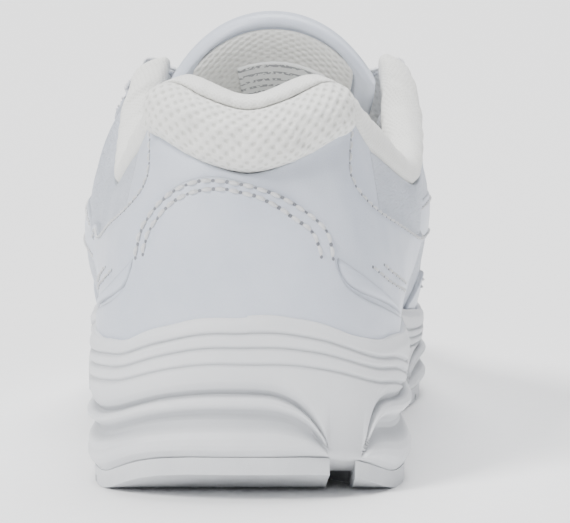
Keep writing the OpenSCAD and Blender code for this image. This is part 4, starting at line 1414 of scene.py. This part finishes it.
    # side bands
    us = [4.7, 5.2, 5.7, 6.2, 6.6, 6.92]
    for side, name in ((1, "medial"), (-1, "lateral")):
        f = [float(smooth(4.65, 7, u)) for u in us]
        low = [(u, 0.26 + 0.2 * k) for u, k in zip(us, f)]
        high = [(u, 0.44 + 0.24 * k) for u, k in zip(us, f)]
        rows = [both([(u, v + 0.03) for u, v in low], side), both([(u, v - 0.03) for u, v in high], side)]
        panel("side_band_leather_" + name, both(low, side), both(high, side), first - 0.35, 0.9, LEATHER,
              seams=[seam_line(r, 1.2) for r in rows], replaces="side_band_" + name, puff=0.1)
        for r in rows:
            stitch_seam(r, ["side_band_leather_" + name], pitch=2.8, thread=0.32)


def steps_u(a, b, n):
    return [mix(a, b, i / n) for i in range(n + 1)]


RIDGE = 2.001  # how far from the toe, in u, the two sides meet on the ridge of the forefoot


def toe_grid(half, low_v, rows):
    """(u, v) grid over the toe from one side to the other; the last row is the ridge of the forefoot."""
    us = np.array(list(half) + [20 - u for u in list(half)[-2::-1]])
    v = np.linspace(0, 1, rows) ** 0.94
    U, V = np.meshgrid(us, low_v + (1 - low_v) * v, indexing="ij")
    return U, V


def toe_shell(name, half, low_v, rows, top, thick, material, replaces):
    U, V = toe_grid(half, low_v, rows)
    n, m = U.shape

    def layer(depth, detail):
        d = np.full(U.shape, float(depth))
        if detail:
            d = d + waves(np.minimum(U, 20 - U), V, 1.0) * smooth(0, 0.2, 1 - V)
        p = skin(U, V, d)
        on = np.abs(U[:, -1] - 10) < RIDGE
        mirror_p = p[::-1, -1]
        p[:, -1] = np.where(on[:, None], (p[:, -1] + mirror_p) / 2, p[:, -1])
        # ease the ridge so that no crease shows where the two halves meet
        for k in (2, 3, 4, 5, 6):
            w = 0.5 * (1 - (k - 1) / 6)
            p[:, -k] = np.where(on[:, None], mix(p[:, -k], (p[:, -k - 1] + p[:, -k + 1]) / 2, w), p[:, -k])
        return p

    outer, inner = layer(top, True), layer(top - thick, False)
    k = n * m
    points = np.vstack([outer.reshape(-1, 3), inner.reshape(-1, 3)])
    faces = np.vstack([grid_faces(n, m), grid_faces(n, m, k, flip=True)])
    i = np.arange(n - 1)
    low_rim = np.stack([k + i * m, k + (i + 1) * m, (i + 1) * m, i * m], -1)
    open_top = ~((np.abs(U[:-1, -1] - 10) < RIDGE) & (np.abs(U[1:, -1] - 10) < RIDGE))
    j = i[open_top] * m + m - 1
    top_rim = np.stack([j, j + m, k + j + m, k + j], -1)
    c = np.arange(m - 1)
    e = (n - 1) * m + c
    ends = [np.stack([c, c + 1, k + c + 1, k + c], -1), np.stack([e + 1, e, k + e, k + e + 1], -1)]
    faces = np.vstack([faces, low_rim, top_rim] + ends)
    # weld the ridge
    remap = np.arange(len(points))
    for base in (0, k):
        for a in range(n):
            b = n - 1 - a
            if abs(U[a, -1] - 10) < RIDGE and a > b:
                remap[base + a * m + m - 1] = base + b * m + m - 1
    faces = remap[faces]
    keep, new = np.unique(faces, return_inverse=True)
    faces = new.reshape(faces.shape)
    rows_out = []
    for f in faces.tolist():
        g = [x for x, y in zip(f, f[1:] + f[:1]) if x != y]
        if len(g) >= 3:
            rows_out.append(g)
    keep_surface(name, outer.reshape(-1, 3), grid_faces(n, m))
    coords = np.stack([U * 30, V * 70], -1).reshape(-1, 2)
    obj = add_mesh(name, points[keep], rows_out, material, coords=twice(coords)[keep],
                   edge=np.zeros(len(keep)))
    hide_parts(replaces)
    return obj


def build_vamp():
    """The vamp with its perforations, and the lining of the forefoot."""
    half = np.concatenate([np.linspace(6.9, 8, 40, endpoint=False), np.linspace(8, 10, 81)])
    toe_shell("vamp_leather", half, 0.0, 80, 0.0, 1.5, TUMBLED, replaces="vamp")
    half = np.concatenate([np.linspace(COLLAR_U + 0.02, 8, 70, endpoint=False), np.linspace(8, 10, 50)])
    obj = toe_shell("forefoot_mesh_lining", half, 0.06, 50, -3.1, 0.9, LINING, replaces="forefoot_lining")
    # perforations over the toes, in rows across the vamp, drawn later as dark discs of painted shade
    for row in range(7):
        t = 203 + 5.2 * row
        span = 5 - abs(row - 2) // 2
        for k in range(-span, span + 1):
            x = float(centre_x(t)) + 4.4 * (k + (0.5 if row % 2 else 0)) - 0.5
            place, up = PANELS["vamp_leather"].ray_cast(Vector((x, t - BACK, 120)), Vector((0, 0, -1)))[:2]
            if place is not None:
                n = np.array(up) * (1 if up.z > 0 else -1)
                HOLES.append((np.array([place]), n[None], 0.75))


# ---------------------------------------------------------------- carried-over CAD nodes


def dress(name, material, bevel=None):
    obj = NODES[name]
    obj.data.materials.clear()
    obj.data.materials.append(material)
    if bevel:
        mod = obj.modifiers.new("soft_edge", "BEVEL")
        mod.width = bevel * MM
        mod.segments = 3
        mod.limit_method = "ANGLE"
        mod.angle_limit = math.radians(35)


def dress_nodes():
    for name in ("outsole_heel_lateral", "outsole_heel_medial", "outsole_ball_lateral",
                 "outsole_ball_medial", "outsole_toe"):
        dress(name, RUBBER, 0.8)
    dress("shank_plate", SHANK, 0.4)
    for name in ("lasting_board", "heel_counter", "toe_puff"):
        dress(name, BOARD)


# ---------------------------------------------------------------- stage


CAMERA_DOWN = 6.2  # degrees below the horizon


def build_stage():
    mesh = bpy.data.meshes.new("floor")
    mesh.from_pydata([(-4, -4, 0), (4, -4, 0), (4, 4, 0), (-4, 4, 0)], [], [(0, 1, 2, 3)])
    floor = bpy.data.objects.new("floor", mesh)
    link(floor)
    m, tree, shader = new_material("floor_paper")
    fine = noise(tree, in_mm(tree), 0.2, 3.0)
    tree.links.new(ramp(tree, fine, [(0.3, (0.94, 0.94, 0.945)), (0.7, (0.96, 0.96, 0.96))]),
                   shader.inputs["Base Color"])
    shader.inputs["Roughness"].default_value = 0.85
    mesh.materials.append(m)

    world = bpy.data.worlds.new("studio")
    world.use_nodes = True
    world.node_tree.nodes["Background"].inputs["Color"].default_value = (0.93, 0.95, 1.0, 1)
    world.node_tree.nodes["Background"].inputs["Strength"].default_value = 0.3
    bpy.context.scene.world = world

    def area(name, place, target, size, power, colour=(1, 1, 1)):
        light = bpy.data.lights.new(name, "AREA")
        light.shape = "RECTANGLE"
        light.size, light.size_y = size
        light.energy = power
        light.color = colour
        obj = bpy.data.objects.new(name, light)
        obj.location = place
        d = np.array(target) - np.array(place)
        d = d / np.linalg.norm(d)
        obj.rotation_euler = (math.acos(-d[2]), 0, math.atan2(-d[0], d[1]))
        link(obj)

    def sun(name, place, strength, angle, colour=(1, 1, 1)):
        light = bpy.data.lights.new(name, "SUN")
        light.energy = strength
        light.angle = math.radians(angle)
        light.color = colour
        obj = bpy.data.objects.new(name, light)
        obj.rotation_euler = Vector(place).to_track_quat("Z", "Y").to_euler()
        link(obj)

    sun("sky_left", (-0.75, -0.75, 1.0), 3.9, 18, (1.0, 0.995, 0.98))
    sun("sky_top", (0.1, 0.25, 1.3), 4.4, 45)
    area("fill_right", (1.1, -0.7, 0.35), (0, -0.05, 0.05), (0.6, 0.6), 2.0, (0.95, 0.97, 1.0))

    camera = bpy.data.cameras.new("camera")
    camera.sensor_width = 36
    camera.lens = 211.4
    camera.clip_start = 0.01
    obj = bpy.data.objects.new("camera", camera)
    obj.location = (0.0065, -0.939, 0.146)
    obj.rotation_euler = (math.radians(90 - CAMERA_DOWN), 0, 0)
    link(obj)
    bpy.context.scene.camera = obj


build_stage()
build_midsole()
build_upper()
build_collar()
build_heel_pad()
build_tongue()
build_label()
build_lace()
build_insole()
build_stitches()
dress_nodes()
